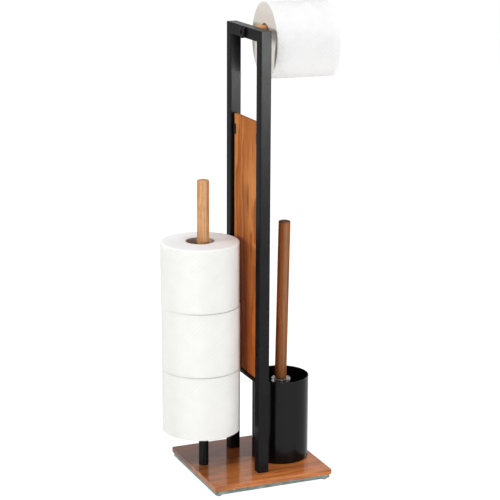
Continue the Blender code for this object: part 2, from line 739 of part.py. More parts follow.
def make_bristles(material, parent):
    """Thimble-shaped sleeve on the head core with a strand on every facet."""
    wall_radius = HEAD_CORE_DIAMETER / 2 + FIT_GAP
    outside = bristle_rings()
    dome_level = BRISTLE_RADIUS
    bm = bmesh.new()
    rings = []
    for radius, level in outside:
        ring = []
        for column in range(BRISTLE_COLUMNS):
            angle = math.tau * column / BRISTLE_COLUMNS
            ring.append(bm.verts.new((radius * math.cos(angle), radius * math.sin(angle), level)))
        rings.append(ring)
    facets = []
    for upper, lower in zip(rings, rings[1:]):
        for near in range(BRISTLE_COLUMNS):
            far = (near + 1) % BRISTLE_COLUMNS
            facets.append(bm.faces.new((upper[near], lower[near], lower[far], upper[far])))
    bm.faces.new(list(reversed(rings[-1])))
    inner_top = []
    inner_low = []
    for column in range(BRISTLE_COLUMNS):
        angle = math.tau * column / BRISTLE_COLUMNS
        x = wall_radius * math.cos(angle)
        y = wall_radius * math.sin(angle)
        inner_top.append(bm.verts.new((x, y, BRISTLE_HEIGHT)))
        inner_low.append(bm.verts.new((x, y, dome_level)))
    pit = bm.verts.new((0, 0, dome_level))
    for near in range(BRISTLE_COLUMNS):
        far = (near + 1) % BRISTLE_COLUMNS
        bm.faces.new((rings[0][near], rings[0][far], inner_top[far], inner_top[near]))
        bm.faces.new((inner_top[near], inner_top[far], inner_low[far], inner_low[near]))
        bm.faces.new((inner_low[near], inner_low[far], pit))
    bmesh.ops.recalc_face_normals(bm, faces=bm.faces)
    for facet in facets:
        add_bristle(bm, facet)
    finish("brush_bristles", bm, material, parent=parent)


def make_brush(mats):
    """Brush that stands in the container with a slight lean: head, bristles, stud and handle."""
    floor_top = ON_BASE + CONTAINER_FLOOR
    lift = FIT_GAP + BRISTLE_RADIUS * math.sin(BRUSH_LEAN)
    axis = bpy.data.objects.new("brush_axis", None)
    bpy.context.scene.collection.objects.link(axis)
    axis.location = (CONTAINER_X + BRUSH_SHIFT_SHARE * BRISTLE_PLAY, CONTAINER_Y, floor_top + lift)
    axis.rotation_euler = (0, BRUSH_LEAN, 0)
    make_bristles(mats["bristle"], axis)

    core_radius = HEAD_CORE_DIAMETER / 2
    core_foot = BRISTLE_RADIUS + FIT_GAP
    core_top = BRISTLE_HEIGHT
    neck_radius = NECK_DIAMETER / 2
    collar_radius = COLLAR_DIAMETER / 2
    collar_top = COLLAR_LEVEL
    collar_bottom = collar_top - COLLAR_HEIGHT
    stud_hole = BOLT_HOLE / 2
    stud_depth = STUD_LENGTH / 2 + FIT_GAP
    profile = fillet(
        [
            (0, core_foot),
            (core_radius, core_foot),
            (core_radius, core_top),
            (neck_radius, core_top + core_radius - neck_radius),
            (neck_radius, collar_bottom),
            (collar_radius, collar_bottom),
            (collar_radius, collar_top),
            (stud_hole, collar_top),
            (stud_hole, collar_top - stud_depth),
            (0, collar_top - stud_depth),
        ],
        [0, 0, 0, 0, 0, COLLAR_EDGE, COLLAR_EDGE, 0, 0, 0],
        ROUND_STEPS,
    )
    turned("brush_head_core", profile, CORE_SIDES, mats["plastic"], parent=axis)

    handle_foot = collar_top + FIT_GAP
    dowel = {"location": (0, 0, handle_foot), "parent": axis}
    turned("brush_handle", dowel_profile(HANDLE_LENGTH), DOWEL_SIDES, mats["handle"], **dowel)
    make_insert("brush_insert", dowel, mats)
    stud = rod_profile(BOLT_DIAMETER / 2, -STUD_LENGTH / 2, STUD_LENGTH / 2, 0, 0)
    turned("brush_stud", stud, FASTENER_SIDES, mats["steel"], location=(0, 0, collar_top), parent=axis)


def clear_scene():
    """Remove whatever the open file holds."""
    for item in list(bpy.data.objects):
        bpy.data.objects.remove(item, do_unlink=True)


def main():
    """Build the whole stand."""
    clear_scene()
    mats = make_materials()
    make_base(mats)
    uprights, crossbar = make_frame(mats)
    make_panel(uprights, mats)
    make_arm(crossbar, mats)
    make_spare_post(mats)
    make_spare_rolls(mats)
    make_top_roll(mats)
    make_container(mats)
    make_brush(mats)


main()
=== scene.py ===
"""Looks of the toilet butler stand: every visible surface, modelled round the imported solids.

Metres, +Z up, in the solids' own frame. X runs from the spare rolls to the brush container, and Y
runs away from the viewer.
"""
import json
import math
from types import SimpleNamespace

import bmesh
import bpy
from mathutils import Matrix, Vector


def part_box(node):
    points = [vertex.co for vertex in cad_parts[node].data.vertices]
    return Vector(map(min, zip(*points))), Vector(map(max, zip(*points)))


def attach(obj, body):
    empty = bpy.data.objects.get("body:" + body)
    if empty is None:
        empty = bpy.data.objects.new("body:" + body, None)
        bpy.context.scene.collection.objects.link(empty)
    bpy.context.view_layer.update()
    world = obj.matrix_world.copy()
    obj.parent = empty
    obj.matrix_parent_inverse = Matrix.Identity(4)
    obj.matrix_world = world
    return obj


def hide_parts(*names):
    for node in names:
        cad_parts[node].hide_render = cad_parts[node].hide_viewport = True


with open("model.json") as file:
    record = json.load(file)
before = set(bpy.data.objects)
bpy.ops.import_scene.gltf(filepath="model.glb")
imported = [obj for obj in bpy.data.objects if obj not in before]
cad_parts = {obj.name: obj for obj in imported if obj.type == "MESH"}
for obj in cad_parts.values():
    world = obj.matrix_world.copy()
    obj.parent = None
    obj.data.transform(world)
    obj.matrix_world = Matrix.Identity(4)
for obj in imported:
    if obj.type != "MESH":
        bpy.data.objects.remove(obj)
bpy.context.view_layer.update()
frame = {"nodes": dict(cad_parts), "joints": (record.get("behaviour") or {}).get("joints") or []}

# Camera of the photograph
CAMERA_PLACE = (-1.02388, -2.4089, 1.04063)
CAMERA_YAW = math.radians(-23.10)
CAMERA_PITCH = math.radians(-14.62)
CAMERA_ROLL = math.radians(0.25)
CAMERA_LENS_MM = 127.23
SENSOR_MM = 36.0

# Studio: name, place, width, height and gain of each softbox
LIGHT_AIM = (0, 0, 0.4)
SOFTBOXES = (
    ("key_softbox", (-1.93, -1.71, 0.95), 0.3, 0.6, 0.17),
    ("left_softbox", (-2.5, 0.1, 0.95), 0.9, 0.8, 0.44),
    ("right_softbox", (0.98, -2.41, 0.44), 0.9, 0.4, 0.46),
    ("overhead_softbox", (0.25, -0.3, 4.2), 2.2, 2.2, 0.74),
    ("back_softbox", (2.5, 0.9, 1.4), 1.0, 1.0, 0.36),
)
WORLD_FILL = 0.07
FLOOR_ALBEDO = 0.80
FLOOR_SHADE = 0.20
FLOOR_WHITE = 0.98
FLOOR_REACH = 30
FLOOR_CELLS = 8

# Smoothness of turned and rounded pieces
FINE_SIDES = 128
ROD_SIDES = 64
SMALL_SIDES = 40
ARC_STEPS = 6
SHARP_ANGLE = math.radians(35)
CREASE_ANGLE = math.radians(60)
WELD_DISTANCE = 0.000001
CORNER_SEGMENTS = 8
EDGE_SEGMENTS = 4
FOOT_STEPS = 12
SLEEVE_STEPS = 12

# Frame tube
TUBE_WALL = 0.0012
TUBE_CORNER = 0.0014
MITRE_GROOVE_DEPTH = 0.00008
MITRE_GROOVE_HALF = 0.0005

# Plates and panel
PLATE_CORNER = 0.0025
WOOD_EDGE = 0.0008
GLASS_CORNER = 0.003
GLASS_ARRIS = 0.0006
PANEL_EDGE = 0.0007
RAIL_EDGE = 0.0006
UPRIGHT_FACE = 0.1

# Turned details
DOWEL_ROUND = 0.0018
INSERT_POCKET = 0.0050
INSERT_POCKET_DEPTH = 0.0166
FOOT_TOP_BAND = 0.0006
FOOT_FLAT_SHARE = 0.62
POST_WALL = 0.0015
SEAT_EDGE = 0.0007
SEAT_HOLE = 0.0033
HEAD_EDGE = 0.0014
HEX_ACROSS = 0.006
HEX_DEPTH = 0.0022
CONTAINER_WALL = 0.0012
CONTAINER_FLOOR = 0.0016
CONTAINER_FOOT_ROUND = 0.0016
LIP_SHARE = 0.49

# Fasteners under the base
BOLT_RADIUS = 0.003
LOW_HEAD_RADIUS = 0.006
LOW_HEAD_HEIGHT = 0.0018
WASHER_RADIUS = 0.008
WASHER_THICKNESS = 0.0006
WASHER_GAP = 0.0003
UNDER_HEX = 0.004
UNDER_HEX_DEPTH = 0.0011
SHANK_LENGTH = 0.030

# Brush head and bristles
CORE_RADIUS = 0.0115
NECK_RADIUS = 0.0075
COLLAR_HEIGHT = 0.005
COLLAR_ROUND = 0.0014
SLEEVE_GAP = 0.0003
SLEEVE_WALL = 0.0014
BRISTLE_RINGS = 34
BRISTLE_COLUMNS = 54
BRISTLE_THICKNESS = 0.00035
BRISTLE_TILT = math.radians(7)
DOME_SHARE = 0.42
DOME_TURN = math.radians(80)
TOP_STRANDS_DROP = 0.001
STRAND_ROOT = 0.0005
STRAND_REACH = 0.97
STRAND_BEND = 0.06
STRAND_TIP = 0.7
STRAND_POINTS = 4
STRAND_SIDES = 4

# Paper rolls
CORE_WALL = 0.0008
CORE_GAP = 0.0002
CORE_STATIONS = 72
CORE_SIDES = 96
SEAM_PITCH = 0.052
SEAM_DEPTH = 0.0002
SEAM_SHARE = 0.012
CORNER_POINTS = 5
SKIN_SHARE = 0.35
EMBOSS_PITCH = 0.0078
EMBOSS_SHARPNESS = 0.4
STROKES_AROUND = 46
STROKE_PITCH = 0.0082
TAIL_SIDE = (0.4, 0.9, 0.3)
TAIL_STAGGER = 0.2
SEED_STEP = 3.7
SLACK_SIDE = (0, -0.97, -0.22)
SLACK_FADE = (0.05, 0.62)
# Share of the painted slit shade left at the slit's inner wall
SLIT_FAR_SHADE = 0.35
PAPER = {
    "Corner": 0.0002, "Emboss Depth": 0.00028, "Layer Depth": 0.00055, "Layer Pitch": 0.0021,
    "Tail Step": 0.00035, "Slack Wrap": 0.0010, "Slack Slit": 0.0020, "Round Reach": 0.005,
}
SPARE_MESH = {"Around": 288, "Along": 232}
TOP_MESH = {"Around": 320, "Along": 290}
LOOSE_END = {"Slack Depth": 0.012, "Slack Width": 0.0070, "Shift Front": 0.003, "Shift Low": 0.0045}

# Materials
NOISE_LOW = 0.3
NOISE_HIGH = 0.7
GRAIN_OUTPUTS = {"Color": "Color", "Roughness": "Float", "Height": "Float"}
FACING_RANGE = (0.12, 0.5)
RING_SHARPNESS = 2.2
LATE_WOOD_SHARE = 0.45
PALEST_LEAN = -0.25
FIBRE_STRETCH = 0.018
PORE_SHARE = 0.45
RED_TINT = (1.0, 0.72, 0.45)
END_GRAIN_TINT = (0.36, 0.42, 0.55)
END_GRAIN_DEPTH = 0.003
NO_END_GRAIN = 10.0
LACQUER = {"Coat_Weight": 0.5, "Coat_Roughness": 0.09, "Coat_IOR": 1.5}
# Grey painted into the embossed strokes as their shade
STROKE_PAINTED_SHADE = (0.78, 0.78, 0.78)
# Colour of the shade painted into the top roll's loose slit
GAP_SHADOW = (0.10, 0.085, 0.075)
NYLON = (0.84, 0.84, 0.85)


# Node trees

def operator(operation, swapped=False):
    """Method that adds the Math node of an arithmetic sign."""
    def apply(wire, other):
        values = (other, wire) if swapped else (wire, other)
        return wire.graph.math(operation, *values)
    return apply


class Wire:
    """Output of a node; arithmetic on it adds the Math node that works it out."""

    def __init__(self, graph, socket):
        self.graph = graph
        self.socket = socket

    __add__ = operator("ADD")
    __sub__ = operator("SUBTRACT")
    __rsub__ = operator("SUBTRACT", swapped=True)
    __mul__ = operator("MULTIPLY")
    __truediv__ = operator("DIVIDE")
    __rtruediv__ = operator("DIVIDE", swapped=True)

    def __neg__(self):
        return self * -1.0


class Graph:
    """Short calls that add nodes to one tree and wire them."""

    def __init__(self, tree):
        self.tree = tree

    def feed(self, socket, value):
        """Link a socket, or set its own value; a colour is given without its alpha."""
        if isinstance(value, Wire):
            self.tree.links.new(value.socket, socket)
        elif socket.type == "RGBA":
            socket.default_value = (*value, 1)
        else:
            socket.default_value = value

    def add(self, kind, feeds=None, **settings):
        """Add a node with its settings and what feeds its inputs."""
        made = self.tree.nodes.new(kind)
        for name, setting in settings.items():
            setattr(made, name, setting)
        for key, value in (feeds or {}).items():
            self.feed(made.inputs[key], value)
        return made

    def out(self, kind, feeds=None, output=0, **settings):
        """Add a node and give back one of its outputs."""
        return Wire(self, self.add(kind, feeds, **settings).outputs[output])

    def outs(self, kind, feeds=None, **settings):
        """Add a node and give back its outputs by name."""
        return {socket.name: Wire(self, socket) for socket in self.add(kind, feeds, **settings).outputs}

    def feed_all(self, node, **values):
        """Feed inputs of a node by name."""
        for label, value in values.items():
            self.feed(node.inputs[label.replace("_", " ")], value)

    def math(self, operation, *values, clamp=False):
        """One scalar operation."""
        return self.out("ShaderNodeMath", dict(enumerate(values)), operation=operation, use_clamp=clamp)

    def length(self, x, y):
        """Distance from the middle in a plane."""
        return self.math("SQRT", x * x + y * y)

    def between(self, value, low, high):
        """One where a value lies between two others."""
        return self.math("GREATER_THAN", value, low) * self.math("LESS_THAN", value, high)

    def span(self, value, low, high, to_low=0.0, to_high=1.0, smooth=False):
        """Map a value from one range to another, held at both ends."""
        feeds = {"Value": value, "From Min": low, "From Max": high, "To Min": to_low, "To Max": to_high}
        kind = "SMOOTHSTEP" if smooth else "LINEAR"
        return self.out("ShaderNodeMapRange", feeds, interpolation_type=kind)

    def spread(self, noise, low=0.0, high=1.0):
        """Map the range that a noise fills to two values."""
        return self.span(noise, NOISE_LOW, NOISE_HIGH, low, high)

    def split(self, vector):
        """X, Y and Z of a vector."""
        return self.outs("ShaderNodeSeparateXYZ", {0: vector}).values()

    def join(self, x=0.0, y=0.0, z=0.0):
        """Vector from three values."""
        return self.out("ShaderNodeCombineXYZ", {0: x, 1: y, 2: z})

    def vector(self, operation, first, second):
        """One vector operation; SCALE takes a plain value second."""
        key = "Scale" if operation == "SCALE" else 1
        return self.out("ShaderNodeVectorMath", {0: first, key: second}, operation=operation)

    def scaled(self, vector, x, y, z):
        """Vector times a value for each axis."""
        return self.vector("MULTIPLY", vector, self.join(x, y, z))

    def noise(self, vector, scale=1.0, detail=2.0, roughness=0.5):
        """Noise from 0 to 1 over a vector."""
        feeds = {"Vector": vector, "Scale": scale, "Detail": detail, "Roughness": roughness}
        return self.out("ShaderNodeTexNoise", feeds)

    def blend(self, factor, first, second, kind="MIX"):
        """Mix two colours; they are inputs 6 and 7 and output 2 of a Mix node."""
        feeds = {0: factor, 6: first, 7: second}
        return self.out("ShaderNodeMix", feeds, 2, data_type="RGBA", blend_type=kind)

    def tinted(self, colour, factors):
        """Colour times a factor for each channel."""
        return self.blend(1.0, colour, factors, "MULTIPLY")

    def note(self, geometry, name, kind, domain, value):
        """Store a named attribute on a geometry."""
        made = self.add("GeometryNodeStoreNamedAttribute", {0: geometry}, data_type=kind, domain=domain)
        feeds = {"Name": name, "Value": value}
        for socket in made.inputs:
            if socket.enabled and socket.name in feeds:
                self.feed(socket, feeds[socket.name])
        return Wire(self, made.outputs[0])

    def finished(self, geometry, material, selection=True):
        """Set the material of a geometry."""
        feeds = {"Geometry": geometry, "Selection": selection, "Material": material}
        return self.out("GeometryNodeSetMaterial", feeds)

    def copies(self, points, instance, rotation, material):
        """Real copies of an instance on points, in one material."""
        feeds = {"Points": points, "Instance": instance, "Rotation": rotation}
        placed = self.out("GeometryNodeInstanceOnPoints", feeds)
        return self.finished(self.out("GeometryNodeRealizeInstances", {"Geometry": placed}), material)


def new_tree(name, kind, inputs, outputs):
    """Node group with its inputs, each a default or a kind of socket, and its outputs."""
    tree = bpy.data.node_groups.new(name, kind)
    kinds = {float: "Float", int: "Int", tuple: "Color"}
    for label, value in inputs.items():
        socket = kinds.get(type(value), value)
        made = tree.interface.new_socket(name=label, in_out="INPUT", socket_type="NodeSocket%s" % socket)
        if type(value) in kinds:
            made.default_value = (*value, 1) if socket == "Color" else value
    for label, socket in outputs.items():
        tree.interface.new_socket(name=label, in_out="OUTPUT", socket_type="NodeSocket%s" % socket)
    graph = Graph(tree)
    return tree, graph, graph.outs("NodeGroupInput"), graph.add("NodeGroupOutput").inputs


# Shader groups

def wood_grain_group():
    """Grain of a board or a dowel: growth rings, streaks, fibres and pores, with X along the grain, and
    shade painted towards +Y.
    """
    inputs = {
        "Vector": "Vector", "Pale": (0.5, 0.25, 0.1), "Deep": (0.3, 0.12, 0.05),
        "Streak": (0.08, 0.03, 0.015), "Ring Width": 0.006, "Wander": 0.006, "Streak Share": 0.3,
        "Fibre Width": 0.0006, "Figure": 0.15, "Slope": 0.0, "Cross Slope": 0.0, "Streak Length": 0.33,
        "Redness": 0.0, "Redness Slope": 0.0, "End Grain": NO_END_GRAIN, "Gloss Low": 0.4,
        "Gloss High": 0.55,
    }
    tree, g, entry, leave = new_tree("wood_grain", "ShaderNodeTree", inputs, GRAIN_OUTPUTS)
    vector = entry["Vector"]
    x, y, z = g.split(vector)

    drift = (g.noise(g.scaled(vector, 5, 22, 22), 1.0, 3.0, 0.55) - 0.5) * entry["Wander"]
    ring = (g.length(y, z) + drift * 4.0) / entry["Ring Width"]
    late = g.math("POWER", g.math("FRACT", ring), RING_SHARPNESS)
    late = late * g.span(late, 0.86, 1.0, 1.0, 0.0, smooth=True)
    along = x / entry["Streak Length"]
    tone = g.noise(g.join(along * 0.5, ring * 0.45), 1.0, 3.0, 0.6)
    depth = late * LATE_WOOD_SHARE + g.span(tone, 0.36, 0.68, 0.0, 0.8)
    # Slope darkens the wood along the grain; the cross term darkens it towards +Y, painted shade of the
    # spare rolls on the panel and the base
    tone_slope_and_rear_shade = x * entry["Slope"] + y * entry["Cross Slope"]
    depth = g.math("ADD", depth, g.math("MAXIMUM", tone_slope_and_rear_shade, PALEST_LEAN), clamp=True)
    colour = g.blend(depth, entry["Pale"], entry["Deep"])
    streak = g.noise(g.join(along, ring * 0.8, 4.0), 1.0, 4.0, 0.65)
    streak = g.span(streak, 0.52, 0.70, smooth=True)
    colour = g.blend(streak * entry["Streak Share"], colour, entry["Streak"])

    fine = 1.0 / entry["Fibre Width"]
    stretched = g.join(x * (fine * FIBRE_STRETCH), y * fine, z * fine)
    fibre = g.noise(stretched, 1.0, 4.0, 0.65)
    pore = g.noise(g.scaled(stretched, 2.2, 0.8, 0.8), 1.0, 1.0, 0.4)
    pore = g.span(pore, 0.63, 0.72, smooth=True)
    ripple = g.noise(g.scaled(vector, 115, 24, 24), 1.0, 2.0, 0.55)
    shade = g.spread(fibre, 0.78, 1.14) + g.spread(ripple, -1.0, 1.0) * entry["Figure"]
    colour = g.tinted(colour, g.join(shade, shade, shade))
    colour = g.blend(pore * PORE_SHARE, colour, entry["Streak"])

    redness = g.math("ADD", entry["Redness"], x * entry["Redness Slope"], clamp=True)
    colour = g.blend(redness, colour, g.tinted(colour, RED_TINT))
    past_end = g.span(x - entry["End Grain"], 0.0, 0.0015)
    g.feed(leave["Color"], g.blend(past_end, colour, g.tinted(colour, END_GRAIN_TINT)))
    g.feed(leave["Roughness"], g.span(fibre, 0.3, 0.75, entry["Gloss Low"], entry["Gloss High"]))
    g.feed(leave["Height"], fibre * 0.5 - pore - streak)
    return tree


def coat_grain_group():
    """Fine orange peel of a sprayed or moulded surface, with soft changes of gloss."""
    inputs = {
        "Vector": "Vector", "Base": (0.02, 0.02, 0.02), "Grain Size": 0.0006, "Tone Change": 0.15,
        "Gloss Low": 0.35, "Gloss High": 0.5,
    }
    tree, g, entry, leave = new_tree("coat_grain", "ShaderNodeTree", inputs, GRAIN_OUTPUTS)
    cloud = g.noise(entry["Vector"], 28.0, 3.0, 0.6)
    change = (cloud - 0.5) * entry["Tone Change"]
    shade = change + change + 1.0
    g.feed(leave["Color"], g.tinted(entry["Base"], g.join(shade, shade, shade)))
    g.feed(leave["Roughness"], g.spread(cloud, entry["Gloss Low"], entry["Gloss High"]))
    g.feed(leave["Height"], g.noise(entry["Vector"], 1.0 / entry["Grain Size"], 2.0, 0.6))
    return tree


def winding_group():
    """Turns round a roll, place along it and distance from its axis, from a place in its own frame."""
    outputs = {"Turn": "Float", "Along": "Float", "Radius": "Float"}
    tree, g, entry, leave = new_tree("winding", "ShaderNodeTree", {"Vector": "Vector"}, outputs)
    x, y, z = g.split(entry["Vector"])
    g.feed(leave["Turn"], g.math("ARCTAN2", y, x) / math.tau)
    g.feed(leave["Along"], z)
    g.feed(leave["Radius"], g.length(x, y))
    return tree


# Materials

def principled(name, **sockets):
    """Material with a Principled BSDF whose constant values sit on its own sockets."""
    material = bpy.data.materials.new(name)
    material.use_nodes = True
    graph = Graph(material.node_tree)
    shader = material.node_tree.nodes["Principled BSDF"]
    graph.feed_all(shader, **sockets)
    return material, graph, shader


def object_vector(graph, turn=(0, 0, 0), offset=(0, 0, 0)):
    """Object coordinates, turned and moved by a Mapping node."""
    source = graph.out("ShaderNodeTexCoord", output="Object")
    feeds = {"Vector": source, "Location": offset, "Rotation": turn}
    return graph.out("ShaderNodeMapping", feeds, vector_type="POINT")


def bump(graph, height, distance, strength=1.0):
    """Normal of a bumpy surface."""
    return graph.out("ShaderNodeBump", {"Height": height, "Distance": distance, "Strength": strength})


def grain_material(name, group, values, relief, gloss, turn=(0, 0, 0), offset=(0, 0, 0), **sockets):
    """Surface from a grain group, glossier looked at straight than from the side."""
    material, g, shader = principled(name, **sockets)
    facing = g.span(g.out("ShaderNodeLayerWeight", {"Blend": 0.5}, "Facing"), *FACING_RANGE, *gloss)
    grain = g.outs("ShaderNodeGroup", {"Vector": object_vector(g, turn, offset), **values}, node_tree=group)
    g.feed_all(
        shader, Base_Color=grain["Color"], Roughness=grain["Roughness"], Specular_IOR_Level=facing,
        Normal=bump(g, grain["Height"], relief),
    )
    return material


def wound_place(graph, group):
    """A roll's own coordinates and what its winding says of them."""
    place = graph.out("ShaderNodeAttribute", output="Vector", attribute_name="roll_place")
    return place, graph.outs("ShaderNodeGroup", {"Vector": place}, node_tree=group)


def tissue_material(name, group, shaded, pale):
    """Outer sheet of a roll: white, soft, slightly crumpled, with rows of short embossed strokes whose dents
    carry painted shade.
    """
    material, g, shader = principled(
        name, Roughness=0.92, Specular_IOR_Level=0.1, Subsurface_Weight=0.5, Subsurface_Scale=0.006,
        Subsurface_Radius=(1, 1, 1), Sheen_Weight=0.25, Sheen_Roughness=0.6,
    )
    wound, winding = wound_place(g, group)
    crumple = g.noise(wound, 420.0, 4.0, 0.62)
    fibres = g.noise(g.scaled(wound, 1.0, 1.0, 2.4), 2600.0, 2.0, 0.6)
    column = winding["Turn"] * STROKES_AROUND
    row = winding["Along"] / STROKE_PITCH
    thin = g.math("ABSOLUTE", g.math("FRACT", column - row) - 0.5)
    long = g.math("ABSOLUTE", g.math("FRACT", column + row) - 0.5)
    dash = g.span(thin, 0.05, 0.16, 1.0, 0.0, smooth=True) * g.span(long, 0.28, 0.42, 1.0, 0.0, smooth=True)
    dash = dash * g.span(g.noise(wound, 30.0, 2.0, 0.5), 0.38, 0.6)
    colour = g.blend(g.spread(g.noise(wound, 60.0, 2.0, 0.5)), shaded, pale)
    # The strokes' dents are painted grey: painted shade of the embossing
    colour = g.blend(dash * 0.22, colour, STROKE_PAINTED_SHADE)
    height = crumple * 0.4 + fibres * 0.1 - dash * 0.5
    g.feed_all(shader, Base_Color=colour, Normal=bump(g, height, 0.0005, 0.8))
    return material


def tissue_edge_material(name, group, shaded, pale):
    """Cut end of a roll: the edges of its wound layers, with shade painted into the loose slit."""
    material, g, shader = principled(name, Roughness=0.97, Specular_IOR_Level=0.1)
    wound, winding = wound_place(g, group)
    x, y, _ = g.split(wound)
    spiral = winding["Radius"] * 2400.0 + winding["Turn"]
    layers = g.noise(g.join(spiral, x * 14.0, y * 14.0), 1.0, 3.0, 0.7)
    broad = g.noise(g.join(winding["Radius"] * 420.0, x * 30.0, y * 30.0), 1.0, 3.0, 0.6)
    colour = g.blend(g.spread(layers * 0.55 + broad * 0.45), shaded, pale)
    # Painted shade in the top roll's loose slit, darkest next to the loose wrap
    painted_shade = g.out("ShaderNodeAttribute", output="Fac", attribute_name="loose_gap")
    colour = g.blend(g.span(painted_shade, 0.0, 0.9, 0.0, 0.9), colour, GAP_SHADOW)
    g.feed_all(shader, Base_Color=colour, Normal=bump(g, layers, 0.0003, 0.8))
    return material


def board_material(name, shaded, pale, fleck):
    """Spiral-wound board of a core, with darker flecks."""
    material, g, shader = principled(name, Roughness=0.9, Specular_IOR_Level=0.2)
    vector = object_vector(g)
    flecks = g.noise(vector, 900.0, 3.0, 0.7)
    colour = g.blend(g.spread(g.noise(vector, 60.0, 3.0, 0.6)), shaded, pale)
    colour = g.blend(g.span(flecks, 0.62, 0.72, 0.0, 0.5, smooth=True), colour, fleck)
    g.feed_all(shader, Base_Color=colour, Normal=bump(g, flecks, 0.0002, 0.6))
    return material


def glass_material():
    """Clear float glass with the green of its edge."""
    material, g, shader = principled(
        "float_glass", Base_Color=(0.62, 0.80, 0.75), Transmission_Weight=1.0, IOR=1.5
    )
    vector = object_vector(g)
    smears = g.span(g.noise(vector, 35.0, 4.0, 0.6), 0.3, 0.75, 0.08, 0.22)
    g.feed_all(shader, Roughness=smears, Normal=bump(g, g.noise(vector, 160.0, 2.0, 0.5), 0.0001, 0.35))
    return material


def ground_edge_material():
    """Ground edge of the glass, milky green."""
    material, g, shader = principled("ground_glass_edge", Transmission_Weight=0.2, IOR=1.5)
    vector = object_vector(g)
    cloud = g.noise(g.scaled(vector, 45.0, 45.0, 160.0), 1.0, 4.0, 0.7)
    marks = g.noise(g.scaled(vector, 40.0, 40.0, 900.0), 1.0, 3.0, 0.6)
    colour = g.blend(g.span(cloud, 0.36, 0.64), (0.07, 0.12, 0.105), (0.33, 0.41, 0.37))
    roughness = g.spread(marks, 0.35, 0.55)
    g.feed_all(shader, Base_Color=colour, Roughness=roughness, Normal=bump(g, marks, 0.0001, 0.5))
    return material


def clear_material(name, colour, weight, ior, haze_scale, low, high):
    """Clear soft bumper or smoky plastic, with a fine haze."""
    material, g, shader = principled(name, Base_Color=colour, Transmission_Weight=weight, IOR=ior)
    haze = g.noise(object_vector(g), haze_scale, 3.0, 0.6)
    g.feed_all(shader, Roughness=g.spread(haze, low, high), Normal=bump(g, haze, 0.0001, 0.4))
    return material


def metal_material(name, colour, low, high, grain):
    """Plated or turned metal with fine machining marks."""
    material, g, shader = principled(name, Metallic=1.0)
    vector = object_vector(g)
    marks = g.noise(g.scaled(vector, 1.0, 1.0, 9.0), grain, 3.0, 0.6)
    deep = [channel * 0.72 for channel in colour]
    colour = g.blend(g.spread(g.noise(vector, 180.0, 3.0, 0.6)), deep, colour)
    roughness = g.spread(marks, low, high)
    g.feed_all(shader, Base_Color=colour, Roughness=roughness, Normal=bump(g, marks, 0.00005, 0.5))
    return material


def bristle_material():
    """Translucent nylon of the bristles."""
    material, g, shader = principled(
        "brush_bristle_nylon", Subsurface_Weight=0.2, Subsurface_Scale=0.004, Specular_IOR_Level=0.45
    )
    vector = object_vector(g)
    cloud = g.noise(vector, 90.0, 3.0, 0.6)
    deep = [channel * 0.86 for channel in NYLON]
    colour = g.blend(g.spread(cloud), deep, NYLON)
    normal = bump(g, g.noise(vector, 1400.0, 2.0, 0.5), 0.00006, 0.5)
    g.feed_all(shader, Base_Color=colour, Roughness=g.spread(cloud, 0.35, 0.5), Normal=normal)
    return material


def seen_directly(graph):
    """One for rays that show the surround, to the camera or in a reflection, and zero for the rest."""
    path = graph.outs("ShaderNodeLightPath")
    seen = graph.math("MAXIMUM", path["Is Camera Ray"], path["Is Glossy Ray"])
    return graph.math("MAXIMUM", seen, path["Is Transmission Ray"])


def floor_material():
    """Plain pale studio floor that looks white and still takes the stand's shadow."""
    material, g, shader = principled(
        "studio_floor", Roughness=0.85, Specular_IOR_Level=0.0, Emission_Color=(1, 1, 1)
    )
    seen = seen_directly(g)
    colour = g.blend(seen, [FLOOR_ALBEDO] * 3, [FLOOR_SHADE] * 3)
    g.feed_all(shader, Base_Color=colour, Emission_Strength=seen * FLOOR_WHITE)
    return material


def wood_values():
    """What sets the panel, the base, the dowels and the brush handle apart in the grain group."""
    # The +Y slope paints the shade of the spare rolls onto the rear of the panel and of the base
    return {
        "panel": {
            "Pale": (0.79, 0.322, 0.096), "Deep": (0.36, 0.095, 0.020), "Streak": (0.16, 0.05, 0.015),
            "Ring Width": 0.010, "Wander": 0.010, "Fibre Width": 0.0022, "Streak Share": 0.5,
            "Streak Length": 0.30, "Figure": 0.03, "Slope": 0.3, "Cross Slope": 3.2, "Redness": 0.20,
            "Redness Slope": -4.5, "Gloss Low": 0.42, "Gloss High": 0.56,
        },
        "base": {
            "Pale": (0.58, 0.205, 0.056), "Deep": (0.16, 0.048, 0.018), "Streak": (0.085, 0.024, 0.011),
            "Ring Width": 0.0055, "Wander": 0.004, "Fibre Width": 0.0016, "Streak Share": 0.50,
            "Streak Length": 0.10, "Figure": 0.06, "Slope": 2.0, "Cross Slope": 20.0, "Redness": 0.05,
            "Redness Slope": 1.0, "Gloss Low": 0.20, "Gloss High": 0.30,
        },
        "dowel": {
            "Pale": (0.82, 0.44, 0.165), "Deep": (0.46, 0.19, 0.062), "Streak": (0.30, 0.11, 0.04),
            "Ring Width": 0.0045, "Wander": 0.004, "Fibre Width": 0.0006, "Streak Share": 0.35,
            "Figure": 0.09, "Gloss Low": 0.24, "Gloss High": 0.36,
        },
        "handle": {
            "Pale": (0.43, 0.165, 0.044), "Deep": (0.20, 0.060, 0.013), "Streak": (0.10, 0.033, 0.013),
            "Ring Width": 0.0050, "Wander": 0.005, "Fibre Width": 0.0006, "Streak Share": 0.55,
            "Figure": 0.04, "End Grain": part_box("brush_handle")[1].z - END_GRAIN_DEPTH,
            "Gloss Low": 0.36, "Gloss High": 0.52,
        },
    }


